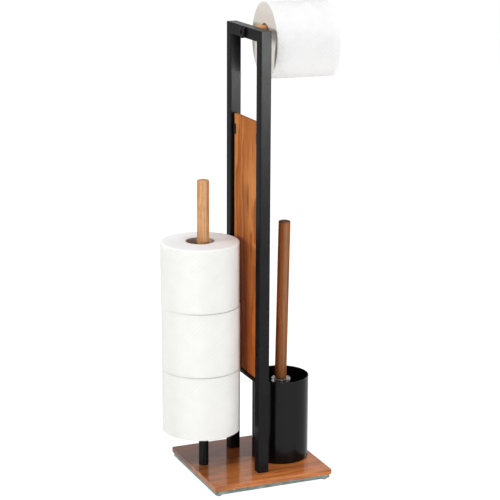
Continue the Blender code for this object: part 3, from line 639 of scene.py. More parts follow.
def wood_materials():
    """The panel, the lacquered base, the two dowels and the brush handle."""
    group = wood_grain_group()
    upright = (0, math.radians(90), 0)
    flat = (0, 0, 0)
    lacquered = "base_lacquered_acacia"
    rows = [
        ("panel", "panel_acacia", "panel", 0.00010, (0.10, 0.02), upright, (-0.42, 0.022, 0.062), {}),
        ("base", lacquered, "base", 0.00005, (0.10, 0.02), flat, (0.31, -0.03, 0.035), LACQUER),
        ("arm", "arm_dowel", "dowel", 0.00008, (0.45, 0.02), flat, (0, 0.012, -0.68), {}),
        ("rod", "rod_dowel", "dowel", 0.00008, (0.85, 0.02), upright, (0, 0.010, 0.085), {}),
        ("handle", "handle_dowel", "handle", 0.00008, (0.45, 0.02), upright, (0, 0.014, -0.045), {}),
    ]
    values = wood_values()
    return {
        key: grain_material(name, group, values[wood], relief, gloss, turn, offset, **sockets)
        for key, name, wood, relief, gloss, turn, offset, sockets in rows
    }


def coat_materials():
    """Powder coat of the frame, satin coat of the container and the matt black of the clips."""
    group = coat_grain_group()
    frame_values = {
        "Base": (0.0055, 0.0055, 0.0063), "Grain Size": 0.0007, "Tone Change": 0.25,
        "Gloss Low": 0.23, "Gloss High": 0.29,
    }
    cup_values = {**frame_values, "Base": (0.0025, 0.0025, 0.0027), "Gloss Low": 0.15, "Gloss High": 0.20}
    clip_values = {**frame_values, "Grain Size": 0.0003, "Gloss Low": 0.50, "Gloss High": 0.62}
    return {
        "frame": grain_material("frame_powder_coat", group, frame_values, 0.00003, (0.14, 0.02)),
        "container": grain_material("container_satin_coat", group, cup_values, 0.00002, (0.21, 0.10)),
        "clip": grain_material("clip_matt_black", group, clip_values, 0.00003, (0.15, 0.03)),
    }


def roll_materials():
    """Sheets and cut ends of the rolls, and the boards of their cores."""
    group = winding_group()
    sheets = {
        "spare_sheet": ("spare_tissue_sheet", (0.872, 0.874, 0.842), (0.905, 0.907, 0.876)),
        "top_sheet": ("top_tissue_sheet", (0.865, 0.867, 0.865), (0.900, 0.902, 0.900)),
    }
    edges = {
        "spare_edges": ("spare_tissue_edges", (0.95, 0.965, 0.975), (0.985, 0.99, 1.0)),
        "top_edges": ("top_tissue_edges", (0.88, 0.835, 0.755), (0.96, 0.92, 0.85)),
    }
    boards = {
        "grey_board": ("grey_core_board", (0.52, 0.475, 0.46), (0.66, 0.61, 0.59), (0.24, 0.20, 0.18)),
        # Top roll's core board: kraft brown, darkened further as painted shade inside its bore
        "brown_board": ("brown_core_board", (0.13, 0.07, 0.04), (0.20, 0.115, 0.07), (0.07, 0.04, 0.02)),
    }
    mats = {key: tissue_material(name, group, *tones) for key, (name, *tones) in sheets.items()}
    mats.update({key: tissue_edge_material(name, group, *tones) for key, (name, *tones) in edges.items()})
    mats.update({key: board_material(*row) for key, row in boards.items()})
    return mats


def make_materials():
    """Every finish of the stand by name."""
    return {
        **wood_materials(),
        **coat_materials(),
        **roll_materials(),
        "glass": glass_material(),
        "ground_edge": ground_edge_material(),
        "foot": clear_material("clear_bumper", (0.92, 0.93, 0.92), 0.85, 1.42, 700.0, 0.12, 0.3),
        "zinc": metal_material("zinc_plated_steel", (0.62, 0.64, 0.66), 0.28, 0.42, 2200.0),
        "brass": metal_material("turned_brass", (0.72, 0.52, 0.22), 0.25, 0.4, 2600.0),
        "head": clear_material("brush_head_plastic", (0.50, 0.47, 0.46), 0.8, 1.45, 220.0, 0.16, 0.28),
        "bristle": bristle_material(),
        "floor": floor_material(),
    }


# Outlines and meshes

def fillet(corners, radii, steps=ARC_STEPS):
    """Round each corner of an outline by its radius; a radius of zero keeps it sharp."""
    points = []
    for index, radius in enumerate(radii):
        corner = Vector(corners[index])
        if radius == 0:
            points.append(tuple(corner))
            continue
        before = (Vector(corners[index - 1]) - corner).normalized()
        after = (Vector(corners[(index + 1) % len(corners)]) - corner).normalized()
        half_angle = before.angle(after) / 2
        reach = radius / math.tan(half_angle)
        centre = corner + (before + after).normalized() * (radius / math.sin(half_angle))
        first = corner + before * reach - centre
        last = corner + after * reach - centre
        start = math.atan2(first.y, first.x)
        sweep = math.remainder(math.atan2(last.y, last.x) - start, math.tau)
        for step in range(steps + 1):
            angle = start + sweep * step / steps
            points.append(tuple(centre + Vector((math.cos(angle), math.sin(angle))) * radius))
    return points


def ring_outline(inner, outer, high, low, inner_round, outer_round, steps=ARC_STEPS):
    """Section of a ring between two radii and two levels."""
    corners = [(inner, high), (outer, high), (outer, low), (inner, low)]
    return fillet(corners, [inner_round, outer_round, outer_round, inner_round], steps)


def mesh_from(bm, name, material, place=Matrix.Identity(4)):
    """Finished mesh object at the origin, with its place in its mesh."""
    bmesh.ops.remove_doubles(bm, verts=bm.verts, dist=WELD_DISTANCE)
    bmesh.ops.recalc_face_normals(bm, faces=bm.faces)
    bm.transform(place)
    mesh = bpy.data.meshes.new(name)
    bm.to_mesh(mesh)
    bm.free()
    mesh.shade_smooth()
    mesh.set_sharp_from_angle(angle=SHARP_ANGLE)
    mesh.materials.append(material)
    raw = linked(name + "_raw", mesh)
    raw.modifiers.new("flats", "WEIGHTED_NORMAL").keep_sharp = True
    return evaluated(name, raw)


def linked(name, data):
    """New object in the scene."""
    made = bpy.data.objects.new(name, data)
    bpy.context.scene.collection.objects.link(made)
    return made


def bridge(bm, ring, following):
    """Quads between two closed rings of as many points."""
    for index in range(len(ring)):
        bm.faces.new((ring[index - 1], ring[index], following[index], following[index - 1]))


def turned(name, outline, sides, material, place=Matrix.Identity(4)):
    """Spin a half outline about Z; one that starts off the axis is closed into a ring."""
    bm = bmesh.new()
    verts = [bm.verts.new((radius, 0, height)) for radius, height in outline]
    edges = [bm.edges.new(pair) for pair in zip(verts, verts[1:]) if pair[0].co.x + pair[1].co.x > 0]
    if outline[0][0] > 0:
        edges.append(bm.edges.new((verts[-1], verts[0])))
    bmesh.ops.spin(
        bm, geom=verts + edges, cent=(0, 0, 0), axis=(0, 0, 1), angle=math.tau, steps=sides, use_merge=True
    )
    return mesh_from(bm, name, material, place)


def softened_box(name, node, upright_round, edge_round, material):
    """Box of a node, with rounded upright corners and softened edges all round."""
    low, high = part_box(node)
    bm = bmesh.new()
    bmesh.ops.create_cube(bm, size=1)
    bmesh.ops.scale(bm, vec=high - low, verts=bm.verts)
    bmesh.ops.translate(bm, vec=(low + high) / 2, verts=bm.verts)
    if upright_round:
        heights = {edge: abs(edge.verts[0].co.z - edge.verts[1].co.z) for edge in bm.edges}
        uprights = [edge for edge, height in heights.items() if height > WELD_DISTANCE]
        bmesh.ops.bevel(
            bm, geom=uprights, offset=upright_round, segments=CORNER_SEGMENTS, profile=0.5, affect="EDGES"
        )
    edges = [edge for edge in bm.edges if edge.calc_face_angle(0) > SHARP_ANGLE]
    bmesh.ops.bevel(bm, geom=edges, offset=edge_round, segments=EDGE_SEGMENTS, profile=0.5, affect="EDGES")
    return mesh_from(bm, name, material)


def evaluated(name, piece):
    """Plain mesh object from a piece with modifiers, which is removed."""
    graph = bpy.context.evaluated_depsgraph_get()
    mesh = bpy.data.meshes.new_from_object(piece.evaluated_get(graph))
    mesh.name = name
    bpy.data.objects.remove(piece)
    return linked(name, mesh)


def grown(name, tree, sizes, carrier=None):
    """Run a geometry tree with its named sizes and return the result as a plain mesh object."""
    host = linked(name + "_host", carrier or bpy.data.meshes.new(name))
    modifier = host.modifiers.new("grow", "NODES")
    modifier.node_group = tree
    sockets = {item.name: item.identifier for item in tree.interface.items_tree if item.in_out == "INPUT"}
    for label, value in sizes.items():
        modifier[sockets[label]] = value
    return evaluated(name, host)


def with_hex_socket(piece, across, low, high):
    """Cut a six-sided socket between two levels into a piece that stands on its axis."""
    bm = bmesh.new()
    radius = across / math.sqrt(3)
    depth = high - low
    bmesh.ops.create_cone(bm, cap_ends=True, segments=6, radius1=radius, radius2=radius, depth=depth)
    bmesh.ops.translate(bm, vec=(0, 0, low + depth / 2), verts=bm.verts)
    mesh = bpy.data.meshes.new("hex_cutter")
    bm.to_mesh(mesh)
    bm.free()
    cutter = linked("hex_cutter", mesh)
    piece.modifiers.new("cut", "BOOLEAN").object = cutter
    name = piece.name
    piece.name = name + "_uncut"
    made = evaluated(name, piece)
    bpy.data.objects.remove(cutter)
    return made


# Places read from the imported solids

class Seat:
    """Where a turned piece sits: its foot on its axis, its length and its radius."""

    def __init__(self, node, axis=(0, 0, 1)):
        self.axis = Vector(axis).normalized()
        low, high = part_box(node)
        middle = (low + high) / 2
        corners = [vert.co - middle for vert in frame["nodes"][node].data.vertices]
        heights = [corner.dot(self.axis) for corner in corners]
        self.length = max(heights) - min(heights)
        self.radius = max((corner - self.axis * corner.dot(self.axis)).length for corner in corners)
        self.foot = middle + self.axis * min(heights)
        self.place = self.matrix(self.foot)
        self.middle_place = self.matrix(self.foot + self.axis * self.length / 2)

    def bearing(self, direction):
        """Angle about the axis at which a direction lies, in the piece's own frame."""
        local = self.place.to_3x3().inverted() @ Vector(direction)
        return math.atan2(local.y, local.x)

    def matrix(self, point):
        """Frame at a point with its Z along the axis."""
        return Matrix.Translation(point) @ self.axis.to_track_quat("Z", "Y").to_matrix().to_4x4()


def joint_axis(name):
    """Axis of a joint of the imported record."""
    return next(joint["axis"] for joint in frame["joints"] if joint["name"] == name)


def dress(piece, body, slot, *nodes):
    """Let a piece ride on its body and stand for its nodes, if it has any; the slot is not used."""
    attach(piece, body)
    if nodes:
        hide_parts(*nodes)


# Frame

def make_welded_frame(mats):
    """Square tube, mitred and welded: up the front, over the top and down the rear."""
    front_low, front_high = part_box("upright_front")
    rear_low, rear_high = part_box("upright_rear")
    half = (front_high.x - front_low.x) / 2
    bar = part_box("crossbar")[1].z - half
    middles = {-1: (front_low.y + front_high.y) / 2, 1: (rear_low.y + rear_high.y) / 2}

    def ring(outline, grooved, side, slide, drop, shrink):
        """Section at a mitre; its drop below the bar is None at the foot."""
        keep = 1 - shrink * grooved / half
        for x, out in outline:
            level = front_low.z if drop is None else bar + out * keep + drop
            yield bm.verts.new((x * keep, middles[side] + side * (out * keep) + slide, level))

    sections = [
        (-1, 0, None, 0),
        (-1, 0, -MITRE_GROOVE_HALF, 0),
        (-1, 0, 0, MITRE_GROOVE_DEPTH),
        (-1, MITRE_GROOVE_HALF, 0, 0),
    ]
    sections += [(-side, -slide, drop, shrink) for side, slide, drop, shrink in reversed(sections)]
    bm = bmesh.new()
    skins = []
    for reach, corner, grooved in ((half, TUBE_CORNER, 1), (half - TUBE_WALL, TUBE_CORNER / 2, 0)):
        outline = fillet([(-reach, -reach), (reach, -reach), (reach, reach), (-reach, reach)], [corner] * 4)
        rings = [list(ring(outline, grooved, *section)) for section in sections]
        for lower, following in zip(rings, rings[1:]):
            bridge(bm, lower, following)
        skins.append(rings)
    for end in (0, -1):
        bridge(bm, skins[0][end], skins[1][end])
    frame_tube = mesh_from(bm, "welded_frame", mats["frame"])
    dress(frame_tube, "stand", "black_coat", "upright_front", "upright_rear", "crossbar")


def make_boards(mats):
    """Black rail, the wooden panel that stands on it and the lacquered plate of the base."""
    rows = [
        ("rail_bar", "panel_rail", 0, RAIL_EDGE, "frame", "black_coat"),
        ("acacia_panel", "back_panel", 0, PANEL_EDGE, "panel", "panel_wood"),
        ("lacquered_plate", "base_wood_plate", PLATE_CORNER, WOOD_EDGE, "base", "base_wood"),
    ]
    for name, node, corner, edge, finish, slot in rows:
        dress(softened_box(name, node, corner, edge, mats[finish]), "stand", slot, node)


# Base

def foot_outline(radius, height):
    """Flattened dome of a bumper, standing on its flat."""
    flat = radius * FOOT_FLAT_SHARE
    rise = height - FOOT_TOP_BAND
    points = [(0, 0)]
    for step in range(FOOT_STEPS + 1):
        angle = math.pi / 2 * step / FOOT_STEPS
        points.append((flat + (radius - flat) * math.sin(angle), rise * (1 - math.cos(angle))))
    return points + [(radius, height), (0, height)]


def make_base(mats):
    """Glass plate and the four clear feet."""
    glass = softened_box("glass_plate", "base_glass_plate", GLASS_CORNER, GLASS_ARRIS, mats["glass"])
    glass.data.materials.append(mats["ground_edge"])
    for face in glass.data.polygons:
        face.material_index = 1 if abs(face.normal.z) < UPRIGHT_FACE else 0
    dress(glass, "stand", "glass", "base_glass_plate")
    for number in range(1, 5):
        seat = Seat("base_foot_%d" % number)
        outline = foot_outline(seat.radius, seat.length)
        foot = turned("bumper_%d" % number, outline, SMALL_SIDES, mats["foot"], seat.place)
        dress(foot, "stand", "foot", "base_foot_%d" % number)


def fasteners_tree():
    """Copies of one bolt with its washer at every point of the carrier."""
    inputs = {"Geometry": "Geometry", "Fastener": "Object", "Turn": 0.4, "Seed": 3, "Finish": "Material"}
    outputs = {"Geometry": "Geometry"}
    tree, g, entry, leave = new_tree("repeated_fasteners", "GeometryNodeTree", inputs, outputs)
    source = g.out("GeometryNodeObjectInfo", {"Object": entry["Fastener"]}, "Geometry")
    feeds = {2: 0.0, 3: entry["Turn"], "Seed": entry["Seed"]}
    turn = g.join(0.0, 0.0, g.out("FunctionNodeRandomValue", feeds, 1))
    g.feed(leave["Geometry"], g.copies(entry["Geometry"], source, turn, entry["Finish"]))
    return tree


def make_base_fasteners(mats):
    """Three low-head bolts with their washers, seen from below."""
    outline = fillet(
        [
            (0, SHANK_LENGTH), (BOLT_RADIUS, SHANK_LENGTH), (BOLT_RADIUS, LOW_HEAD_HEIGHT),
            (LOW_HEAD_RADIUS, LOW_HEAD_HEIGHT), (LOW_HEAD_RADIUS, 0), (0, 0),
        ],
        [0, 0.0004, 0.0002, 0.0002, 0.0008, 0], 3,
    )
    bolt = turned("low_bolt", outline, SMALL_SIDES, mats["zinc"])
    bolt = with_hex_socket(bolt, UNDER_HEX, -UNDER_HEX_DEPTH, UNDER_HEX_DEPTH)
    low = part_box("post_washer")[0].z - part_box("post_bolt")[0].z
    inner = BOLT_RADIUS + WASHER_GAP
    ring = ring_outline(inner, WASHER_RADIUS, low + WASHER_THICKNESS, low, 0.0001, 0.0001, 2)
    washer = turned("low_washer", ring, SMALL_SIDES, mats["zinc"])
    with bpy.context.temp_override(
        active_object=bolt, selected_objects=[bolt, washer], selected_editable_objects=[bolt, washer]
    ):
        bpy.ops.object.join()
    bolts = ("upright_front_bolt", "upright_rear_bolt", "post_bolt")
    washers = ("upright_front_washer", "upright_rear_washer", "post_washer")
    carrier = bpy.data.meshes.new("bolt_points")
    carrier.from_pydata([Seat(node).foot for node in bolts], [], [])
    sizes = {"Fastener": bolt, "Finish": mats["zinc"]}
    fasteners = grown("base_bolts", fasteners_tree(), sizes, carrier)
    bpy.data.objects.remove(bolt)
    dress(fasteners, "stand", "steel", *bolts, *washers)


# Dowels, post and arm

def make_dowels(mats):
    """The arm, the spare rolls' rod and the brush handle, each with its insert's pocket in its foot."""
    rows = [
        ("arm_rod", "roll_arm", (1, 0, 0), "stand", "dowel", "arm"),
        ("spare_rolls_rod", "spare_rod", (0, 0, 1), "stand", "dowel", "rod"),
        ("brush_grip", "brush_handle", joint_axis("brush_lift"), "brush", "handle", "handle"),
    ]
    for name, node, axis, body, slot, finish in rows:
        seat = Seat(node, axis)
        corners = [
            (0, seat.length), (seat.radius, seat.length), (seat.radius, 0), (INSERT_POCKET, 0),
            (INSERT_POCKET, INSERT_POCKET_DEPTH), (0, INSERT_POCKET_DEPTH),
        ]
        outline = fillet(corners, [0, DOWEL_ROUND, 0.0004, 0.0003, 0, 0])
        dress(turned(name, outline, ROD_SIDES, mats[finish], seat.place), body, slot, node)


def make_post(mats):
    """Short black tube and the disc that the spare rolls stand on."""
    tube = Seat("post_tube")
    outline = ring_outline(tube.radius - POST_WALL, tube.radius, tube.length, 0, 0.0002, 0.0003, 3)
    sleeve = turned("post_sleeve", outline, ROD_SIDES, mats["frame"], tube.place)
    dress(sleeve, "stand", "black_coat", "post_tube")
    disc = Seat("roll_seat_disc")
    outline = ring_outline(SEAT_HOLE, disc.radius, disc.length, 0, 0, SEAT_EDGE)
    plate = turned("seat_disc", outline, FINE_SIDES, mats["frame"], disc.place)
    dress(plate, "stand", "black_coat", "roll_seat_disc")


def make_arm_bolt(mats):
    """Round-headed black bolt with a hexagon socket, on the crossbar's left face."""
    seat = Seat("arm_bolt", (-1, 0, 0))
    under = seat.length - abs(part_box("arm_bolt")[0].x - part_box("crossbar")[0].x)
    corners = [
        (0, seat.length), (seat.radius, seat.length), (seat.radius, under), (BOLT_RADIUS, under),
        (BOLT_RADIUS, 0), (0, 0),
    ]
    outline = fillet(corners, [0, HEAD_EDGE, 0.0002, 0, 0.0004, 0])
    bolt = turned("arm_cap_bolt", outline, ROD_SIDES, mats["frame"])
    bolt = with_hex_socket(bolt, HEX_ACROSS, seat.length - HEX_DEPTH, seat.length + HEX_DEPTH)
    bolt.data.transform(seat.place)
    dress(bolt, "stand", "black_coat", "arm_bolt")


# Brush

def make_container(mats):
    """Thin-walled round container with a rolled lip and a rounded foot."""
    seat = Seat("brush_container")
    inner = seat.radius - CONTAINER_WALL
    lip = CONTAINER_WALL * LIP_SHARE
    corners = [
        (0, CONTAINER_FLOOR), (inner, CONTAINER_FLOOR), (inner, seat.length), (seat.radius, seat.length),
        (seat.radius, 0), (0, 0),
    ]
    outline = fillet(corners, [0, CONTAINER_FOOT_ROUND, lip, lip, CONTAINER_FOOT_ROUND, 0])
    cup = turned("container_cup", outline, FINE_SIDES, mats["container"], seat.place)
    dress(cup, "container", "black_coat", "brush_container")


def bristle_strand(g, entry):
    """One strand along Z, bent a little and thinner at its tip."""
    length = (entry["Brush Radius"] - entry["Sleeve Radius"]) * STRAND_REACH
    line = g.out("GeometryNodeCurvePrimitiveLine", {"End": g.join(0.0, 0.0, length)}, mode="POINTS")
    steps = g.out("GeometryNodeResampleCurve", {"Curve": line, "Count": STRAND_POINTS})
    along = g.out("GeometryNodeSplineParameter", output="Factor")
    bend = along * along * (length * STRAND_BEND)
    bent = g.out("GeometryNodeSetPosition", {"Geometry": steps, "Offset": g.join(bend, 0.0, 0.0)})
    radius = entry["Thickness"] * g.span(along, 0.0, 1.0, 1.0, STRAND_TIP)
    sized = g.out("GeometryNodeSetCurveRadius", {"Curve": bent, "Radius": radius})
    feeds = {"Resolution": STRAND_SIDES, "Radius": 1.0}
    profile = g.out("GeometryNodeCurvePrimitiveCircle", feeds, mode="RADIUS")
    feeds = {"Curve": sized, "Profile Curve": profile, "Scale": radius, "Fill Caps": True}
    return g.out("GeometryNodeCurveToMesh", feeds)


def bristle_tree():
    """Rings of fine strands round a sleeve with a domed foot, all cut to one length."""
    inputs = {
        "Sleeve Radius": 0.013, "Brush Radius": 0.036, "Height": 0.086, "Dome Share": DOME_SHARE,
        "Rings": BRISTLE_RINGS, "Columns": BRISTLE_COLUMNS, "Thickness": BRISTLE_THICKNESS,
        "Tilt": BRISTLE_TILT, "Seed": 5, "Finish": "Material",
    }
    tree, g, entry, leave = new_tree("brush_bristles", "GeometryNodeTree", inputs, {"Geometry": "Geometry"})
    points = g.out("GeometryNodeMeshLine", {"Count": entry["Rings"] * entry["Columns"]}, mode="OFFSET")
    index = g.out("GeometryNodeInputIndex")
    ring = g.math("FLOOR", index / entry["Columns"])
    stagger = g.math("MODULO", ring, 2.0) * 0.5
    column = g.math("MODULO", index, entry["Columns"])
    turn = (column + stagger) / entry["Columns"] * math.tau
    share = ring / (entry["Rings"] - 1.0)
    dome_start = 1.0 - entry["Dome Share"]
    drop = g.span(share, dome_start, 1.0, 0.0, DOME_TURN)
    straight = entry["Height"] - entry["Brush Radius"]
    level = entry["Height"] - g.span(share, 0.0, dome_start) * straight
    out = g.math("COSINE", drop)
    way = g.join(out * g.math("COSINE", turn), out * g.math("SINE", turn), -g.math("SINE", drop))
    root = g.vector("SCALE", way, entry["Sleeve Radius"])
    place = g.vector("ADD", root, g.join(0.0, 0.0, level))
    placed = g.out("GeometryNodeSetPosition", {"Geometry": points, "Position": place})
    feeds = {0: (-1, -1, -1), 1: (1, 1, 1), "Seed": entry["Seed"]}
    sway = g.out("FunctionNodeRandomValue", feeds, data_type="FLOAT_VECTOR")
    heading = g.vector("ADD", way, g.vector("SCALE", sway, entry["Tilt"]))
    aim = g.out("FunctionNodeAlignRotationToVector", {"Vector": heading}, axis="Z")
    g.feed(leave["Geometry"], g.copies(placed, bristle_strand(g, entry), aim, entry["Finish"]))
    return tree


def make_brush_head(mats):
    """Head with its collar, on the brush's leaning axis."""
    axis = joint_axis("brush_lift")
    core = Seat("brush_head_core", axis)
    bristles = Seat("brush_bristles", axis)
    top = core.length
    shoulder = bristles.length - bristles.radius
    under = top - COLLAR_HEIGHT
    neck_foot = shoulder + CORE_RADIUS - NECK_RADIUS
    corners = [
        (0, top), (core.radius, top), (core.radius, under), (NECK_RADIUS, under),
        (NECK_RADIUS, neck_foot), (CORE_RADIUS, shoulder), (CORE_RADIUS, 0), (0, 0),
    ]
    outline = fillet(corners, [0, COLLAR_ROUND, COLLAR_ROUND, 0.001, 0.002, 0.001, 0.0006, 0])
    head = turned("brush_head", outline, ROD_SIDES, mats["head"], core.place)
    dress(head, "brush", "grey_plastic", "brush_head_core")


def make_bristles(mats):
    """Strands and the thimble that carries them."""
    seat = Seat("brush_bristles", joint_axis("brush_lift"))
    inner = CORE_RADIUS + SLEEVE_GAP
    outer = inner + SLEEVE_WALL
    sizes = {
        "Sleeve Radius": outer - STRAND_ROOT,
        "Brush Radius": seat.radius,
        "Height": seat.length - TOP_STRANDS_DROP,
        "Finish": mats["bristle"],
    }
    strands = grown("bristles", bristle_tree(), sizes)
    strands.data.transform(seat.place)
    strands.data.shade_smooth()
    dress(strands, "brush", "bristle", "brush_bristles")

    angles = [math.pi / 2 * step / SLEEVE_STEPS for step in range(SLEEVE_STEPS)]
    outline = [(inner, seat.length), (outer, seat.length)]
    outline += [(outer * math.cos(angle), seat.radius - outer * math.sin(angle)) for angle in angles]
    outline += [(0, seat.radius - outer), (0, seat.radius), (inner, seat.radius)]
    sleeve = turned("bristle_sleeve", outline, SMALL_SIDES, mats["bristle"], seat.place)
    dress(sleeve, "brush", "bristle")


# Paper rolls

def roll_spot(g, entry):
    """Measures of a point of the roll, round its axis and in from its rim and its end."""
    here = g.out("GeometryNodeInputPosition")
    x, y, z = g.split(here)
    outer = entry["Diameter"] / 2.0
    radius = g.length(x, y)
    angle = g.math("ARCTAN2", y, x)
    from_rim = outer - radius
    from_end = entry["Width"] / 2.0 - g.math("ABSOLUTE", z)
    skin = entry["Corner"] * SKIN_SHARE
    return SimpleNamespace(
        here=here, x=x, y=y, z=z, outer=outer, radius=radius, from_rim=from_rim, from_end=from_end,
        angle=angle, cosine=g.math("COSINE", angle), sine=g.math("SINE", angle),
        on_side=g.math("LESS_THAN", from_rim, skin), on_end=g.math("LESS_THAN", from_end, skin),
    )


def roll_body(g, entry):
    """Ring of paper with softened edges: its section swept round the axis."""
    outer = entry["Diameter"] / 2.0
    inner = entry["Bore"] / 2.0
    feeds = {"Width": outer - inner, "Height": entry["Width"]}
    block = g.out("GeometryNodeCurvePrimitiveQuadrilateral", feeds)
    feeds = {"Curve": block, "Count": CORNER_POINTS, "Radius": entry["Corner"]}
    rounded = g.out("GeometryNodeFilletCurve", feeds, mode="POLY")
    section = g.out("GeometryNodeResampleCurve", {"Curve": rounded, "Count": entry["Along"]})
    feeds = {"Resolution": entry["Around"], "Radius": (outer + inner) / 2.0}
    hoop = g.out("GeometryNodeCurvePrimitiveCircle", feeds, mode="RADIUS")
    return g.out("GeometryNodeCurveToMesh", {"Curve": hoop, "Profile Curve": section})


def sheet_sink(g, entry, spot):
    """How deep the outer sheet sinks: its embossed lattice and the step of its tail."""
    pitch = math.pi / entry["Emboss Pitch"]
    rows = spot.angle * spot.outer * pitch
    lines = spot.z * pitch
    rising = g.math("ABSOLUTE", g.math("SINE", rows + lines))
    falling = g.math("ABSOLUTE", g.math("SINE", rows - lines))
    quilt = g.math("POWER", rising * falling, EMBOSS_SHARPNESS)
    lumps = g.noise(g.join(spot.cosine * 2.6, spot.sine * 2.6, spot.z * 45.0), 1.0, 2.0, 0.5)
    strength = g.span(lumps, 0.35, 0.65, 0.35, 1.0)
    dent = (1.0 - quilt) * (strength * entry["Emboss Depth"])
    dent = dent * g.span(spot.from_end, 0.001, 0.005, smooth=True) * spot.on_side
    turn = g.math("FRACT", (spot.angle - entry["Tail Turn"]) / math.tau)
    return dent + turn * entry["Tail Step"] * spot.on_side


def end_press(g, entry, spot):
    """How far the wound layers of a cut end sink in, with the rolled-over rim of the upper end."""
    layer = spot.radius / entry["Layer Pitch"] + spot.angle / math.tau
    wobble = g.join(layer, spot.cosine * 0.7, spot.sine * 0.7 + entry["Seed"])
    uneven = g.noise(wobble, 1.0, 2.0, 0.55)
    soft = g.noise(g.join(spot.x * 26.0, spot.y * 26.0, entry["Seed"]), 1.0, 1.0, 0.5)
    press = (uneven * 0.7 + soft * 0.6) * entry["Layer Depth"]
    press = press * spot.on_end * g.span(spot.from_rim, 0.0003, 0.003)
    near_rim = g.span(spot.from_rim, 0.0, entry["Round Reach"], 1.0, 0.0)
    dropped = (1.0 - g.math("SQRT", 1.0 - near_rim * near_rim)) * entry["Top Round"]
    dropped = dropped * g.math("GREATER_THAN", spot.z, 0.0)
    return press + dropped * g.span(spot.from_end, 0.0, entry["Round Reach"], 1.0, 0.0)


def loose_wrap(g, entry, spot, thick):
    """Outer wraps that stand off the near end: the slit's depth, the sink inside it and the shade painted
    into the slit.
    """
    away = g.math("ABSOLUTE", g.math("WRAP", spot.angle - entry["Slack Turn"], math.pi, -math.pi))
    opened = g.span(away, *SLACK_FADE, 1.0, 0.0, smooth=True) * spot.on_end
    opened = opened * g.math("LESS_THAN", spot.z, 0.0)
    slit_end = entry["Slack Wrap"] + entry["Slack Slit"]
    in_slit = g.between(spot.from_rim, entry["Slack Wrap"], slit_end)
    slit_middle = entry["Slack Wrap"] + entry["Slack Slit"] * 0.5
    inside = g.math("GREATER_THAN", spot.from_rim, slit_middle)
    sink = inside * g.span(spot.from_rim, slit_end, thick, 1.0, 0.0) * (opened * entry["Slack Width"])
    # Painted shade in the slit: full next to the loose wrap, fading towards its inner wall
    shade = g.span(spot.from_rim, entry["Slack Wrap"], slit_end, 1.0, SLIT_FAR_SHADE)
    return in_slit * entry["Slack Depth"] * opened, sink, in_slit * opened * shade


def slid_layers(g, entry, spot, thick):
    """How far the layers of the far end have slid out, most at the front and at the low side."""
    front = g.span(g.math("COSINE", spot.angle - entry["Front Turn"]), -0.3, 0.5, smooth=True)
    low = g.span(g.math("COSINE", spot.angle - entry["Low Turn"]), 0.1, 1.0, smooth=True)
    slide = front * entry["Shift Front"] + low * entry["Shift Low"]
    slide = slide * g.span(spot.from_rim, 0.0, thick, 1.0, 0.0)
    return slide * g.span(spot.z, 0.0, entry["Width"] / 2.0)


def paper_roll_tree():
    """Wound paper roll about Z: embossed sheet outside, uneven layers at both ends, one loose edge."""
    resting = ("Tail Turn", "Slack Turn", "Front Turn", "Low Turn", "Top Round", "Seed", *LOOSE_END)
    inputs = {
        "Diameter": 0.121, "Width": 0.1, "Bore": 0.0447, "Emboss Pitch": EMBOSS_PITCH, **PAPER, **SPARE_MESH,
        **dict.fromkeys(resting, 0.0), "Sheet": "Material", "Edges": "Material",
    }
    outputs = {"Geometry": "Geometry"}
    tree, g, entry, leave = new_tree("wound_paper_roll", "GeometryNodeTree", inputs, outputs)
    spot = roll_spot(g, entry)
    thick = spot.outer - entry["Bore"] / 2.0
    slit, sink, painted_shade = loose_wrap(g, entry, spot, thick)
    inward = -(sheet_sink(g, entry, spot) + sink)
    along = (end_press(g, entry, spot) + slit) * -g.math("SIGN", spot.z)
    along = along + slid_layers(g, entry, spot, thick)
    offset = g.join(spot.cosine * inward, spot.sine * inward, along)

    body = g.note(roll_body(g, entry), "roll_place", "FLOAT_VECTOR", "POINT", spot.here)
    # Painted shade of the slit, stored for the cut end's material
    body = g.note(body, "loose_gap", "FLOAT", "POINT", painted_shade)
    body = g.note(body, "cut_end", "FLOAT", "FACE", spot.on_end)
    body = g.out("GeometryNodeSetPosition", {"Geometry": body, "Offset": offset})
    body = g.out("GeometryNodeSetShadeSmooth", {"Geometry": body})
    creased = g.math("GREATER_THAN", g.out("GeometryNodeInputMeshEdgeAngle"), CREASE_ANGLE)
    feeds = {"Geometry": body, "Selection": creased, "Shade Smooth": False}
    body = g.out("GeometryNodeSetShadeSmooth", feeds, domain="EDGE")
    body = g.finished(g.out("GeometryNodeRealizeInstances", {"Geometry": body}), entry["Sheet"])
    cut = g.out("GeometryNodeInputNamedAttribute", {"Name": "cut_end"}, data_type="FLOAT")
    g.feed(leave["Geometry"], g.finished(body, entry["Edges"], g.math("GREATER_THAN", cut, 0.5)))
    return tree


def make_core(name, node, seat, body, board):
    """Board tube with the shallow spiral seam of its wound strips."""
    heights = [seat.length * step / CORE_STATIONS for step in range(CORE_STATIONS + 1)]
    skins = ((seat.radius, 0, heights), (seat.radius - CORE_WALL, SEAM_DEPTH, heights[::-1]))
    bm = bmesh.new()
    rings = []
    for skin, seam_depth, levels in skins:
        for height in levels:
            ring = []
            for side in range(CORE_SIDES):
                angle = math.tau * side / CORE_SIDES
                phase = (side / CORE_SIDES + height / SEAM_PITCH) % 1
                seam = math.exp(-(min(phase, 1 - phase) / SEAM_SHARE) ** 2)
                radius = skin + seam_depth * seam
                ring.append(bm.verts.new((radius * math.cos(angle), radius * math.sin(angle), height)))
            rings.append(ring)
    for ring, following in zip(rings, rings[1:] + rings[:1]):
        bridge(bm, ring, following)
    dress(mesh_from(bm, name, board, seat.place), body, "board", node)


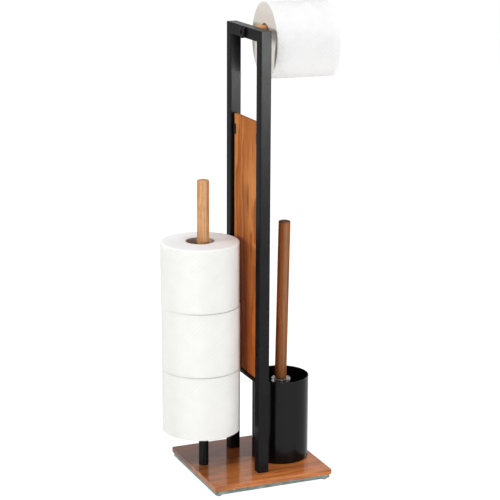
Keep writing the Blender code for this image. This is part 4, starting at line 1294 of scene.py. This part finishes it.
def make_rolls(mats):
    """Three spare rolls and the roll on the arm, each with its core."""
    tree = paper_roll_tree()
    spare = {"Sheet": mats["spare_sheet"], "Edges": mats["spare_edges"]}
    upper = {**spare, "Top Round": 0.0025}
    top = {"Sheet": mats["top_sheet"], "Edges": mats["top_edges"], "Top Round": 0.0015}
    top.update(TOP_MESH)
    top.update(LOOSE_END)
    upright = (0, 0, 1)
    rows = [
        ("spare_roll_low", "spare_roll_%s_1", upright, "grey_board", spare),
        ("spare_roll_middle", "spare_roll_%s_2", upright, "grey_board", spare),
        ("spare_roll_upper", "spare_roll_%s_3", upright, "grey_board", upper),
        ("top_roll", "top_roll_%s", joint_axis("top_roll_spin"), "brown_board", top),
    ]
    for number, (body, names, axis, board, own) in enumerate(rows):
        seat = Seat(names % "paper", axis)
        core_seat = Seat(names % "core", axis)
        around = math.tau * seat.radius
        sizes = {
            **own,
            "Diameter": seat.radius * 2,
            "Width": seat.length,
            "Bore": core_seat.radius * 2 + CORE_GAP,
            "Emboss Pitch": around / round(around / EMBOSS_PITCH),
            "Tail Turn": seat.bearing(TAIL_SIDE) + TAIL_STAGGER * number,
            "Slack Turn": seat.bearing(SLACK_SIDE),
            "Front Turn": seat.bearing((0, -1, 0)),
            "Low Turn": seat.bearing((0, 0, -1)),
            "Seed": SEED_STEP * number,
        }
        paper = grown(names % "tissue", tree, sizes)
        paper.data.transform(seat.middle_place)
        dress(paper, body, "paper", names % "paper")
        make_core(names % "tube", names % "core", core_seat, body, mats[board])


# Solids that stay as they are

KEPT_SOLIDS = {
    "zinc": ("upright_nut_front", "upright_nut_rear", "clip_screw_front", "clip_screw_rear", "brush_stud"),
    "brass": ("arm_insert", "spare_rod_insert", "brush_insert"),
    "clip": ("panel_clip_front", "panel_clip_rear"),
    "frame": ("rail_screw_front", "rail_screw_rear"),
}


def finish_kept_solids(mats):
    """Give the solids whose shape is right their procedural finish."""
    for finish, nodes in KEPT_SOLIDS.items():
        for node in nodes:
            data = frame["nodes"][node].data
            data.materials.clear()
            data.materials.append(mats[finish])


# Studio

def area_light(name, place, width, height, gain):
    """Rectangular soft light that faces the stand; a white surface square to it shows its gain."""
    reach = Vector(place) - Vector(LIGHT_AIM)
    lamp = bpy.data.lights.new(name, "AREA")
    lamp.shape = "RECTANGLE"
    lamp.size = width
    lamp.size_y = height
    lamp.energy = gain * math.pi ** 2 * reach.length_squared
    holder = linked(name, lamp)
    holder.location = place
    holder.rotation_euler = reach.to_track_quat("Z", "Y").to_euler()


def make_studio(mats):
    """White floor, soft lights, a white surround and the photograph's camera."""
    bm = bmesh.new()
    bmesh.ops.create_grid(bm, x_segments=FLOOR_CELLS, y_segments=FLOOR_CELLS, size=FLOOR_REACH)
    mesh_from(bm, "floor", mats["floor"])

    for softbox in SOFTBOXES:
        area_light(*softbox)

    world = bpy.data.worlds.new("studio_surround")
    bpy.context.scene.world = world
    world.use_nodes = True
    g = Graph(world.node_tree)
    strength = g.span(seen_directly(g), 0.0, 1.0, WORLD_FILL, 1.0)
    g.feed_all(world.node_tree.nodes["Background"], Color=(1, 1, 1), Strength=strength)

    camera_data = bpy.data.cameras.new("photo_camera")
    camera_data.lens = CAMERA_LENS_MM
    camera_data.sensor_width = SENSOR_MM
    camera = linked("photo_camera", camera_data)
    yaw = Matrix.Rotation(CAMERA_YAW, 4, "Z")
    pitch = Matrix.Rotation(math.radians(90) + CAMERA_PITCH, 4, "X")
    roll = Matrix.Rotation(CAMERA_ROLL, 4, "Z")
    camera.matrix_world = Matrix.Translation(CAMERA_PLACE) @ yaw @ pitch @ roll
    bpy.context.scene.camera = camera
    bpy.context.scene.view_settings.view_transform = "Standard"


def main():
    """Dress the whole stand and light it."""
    mats = make_materials()
    make_welded_frame(mats)
    make_boards(mats)
    make_base(mats)
    make_base_fasteners(mats)
    make_dowels(mats)
    make_post(mats)
    make_arm_bolt(mats)
    make_container(mats)
    make_brush_head(mats)
    make_bristles(mats)
    make_rolls(mats)
    finish_kept_solids(mats)
    make_studio(mats)


main()
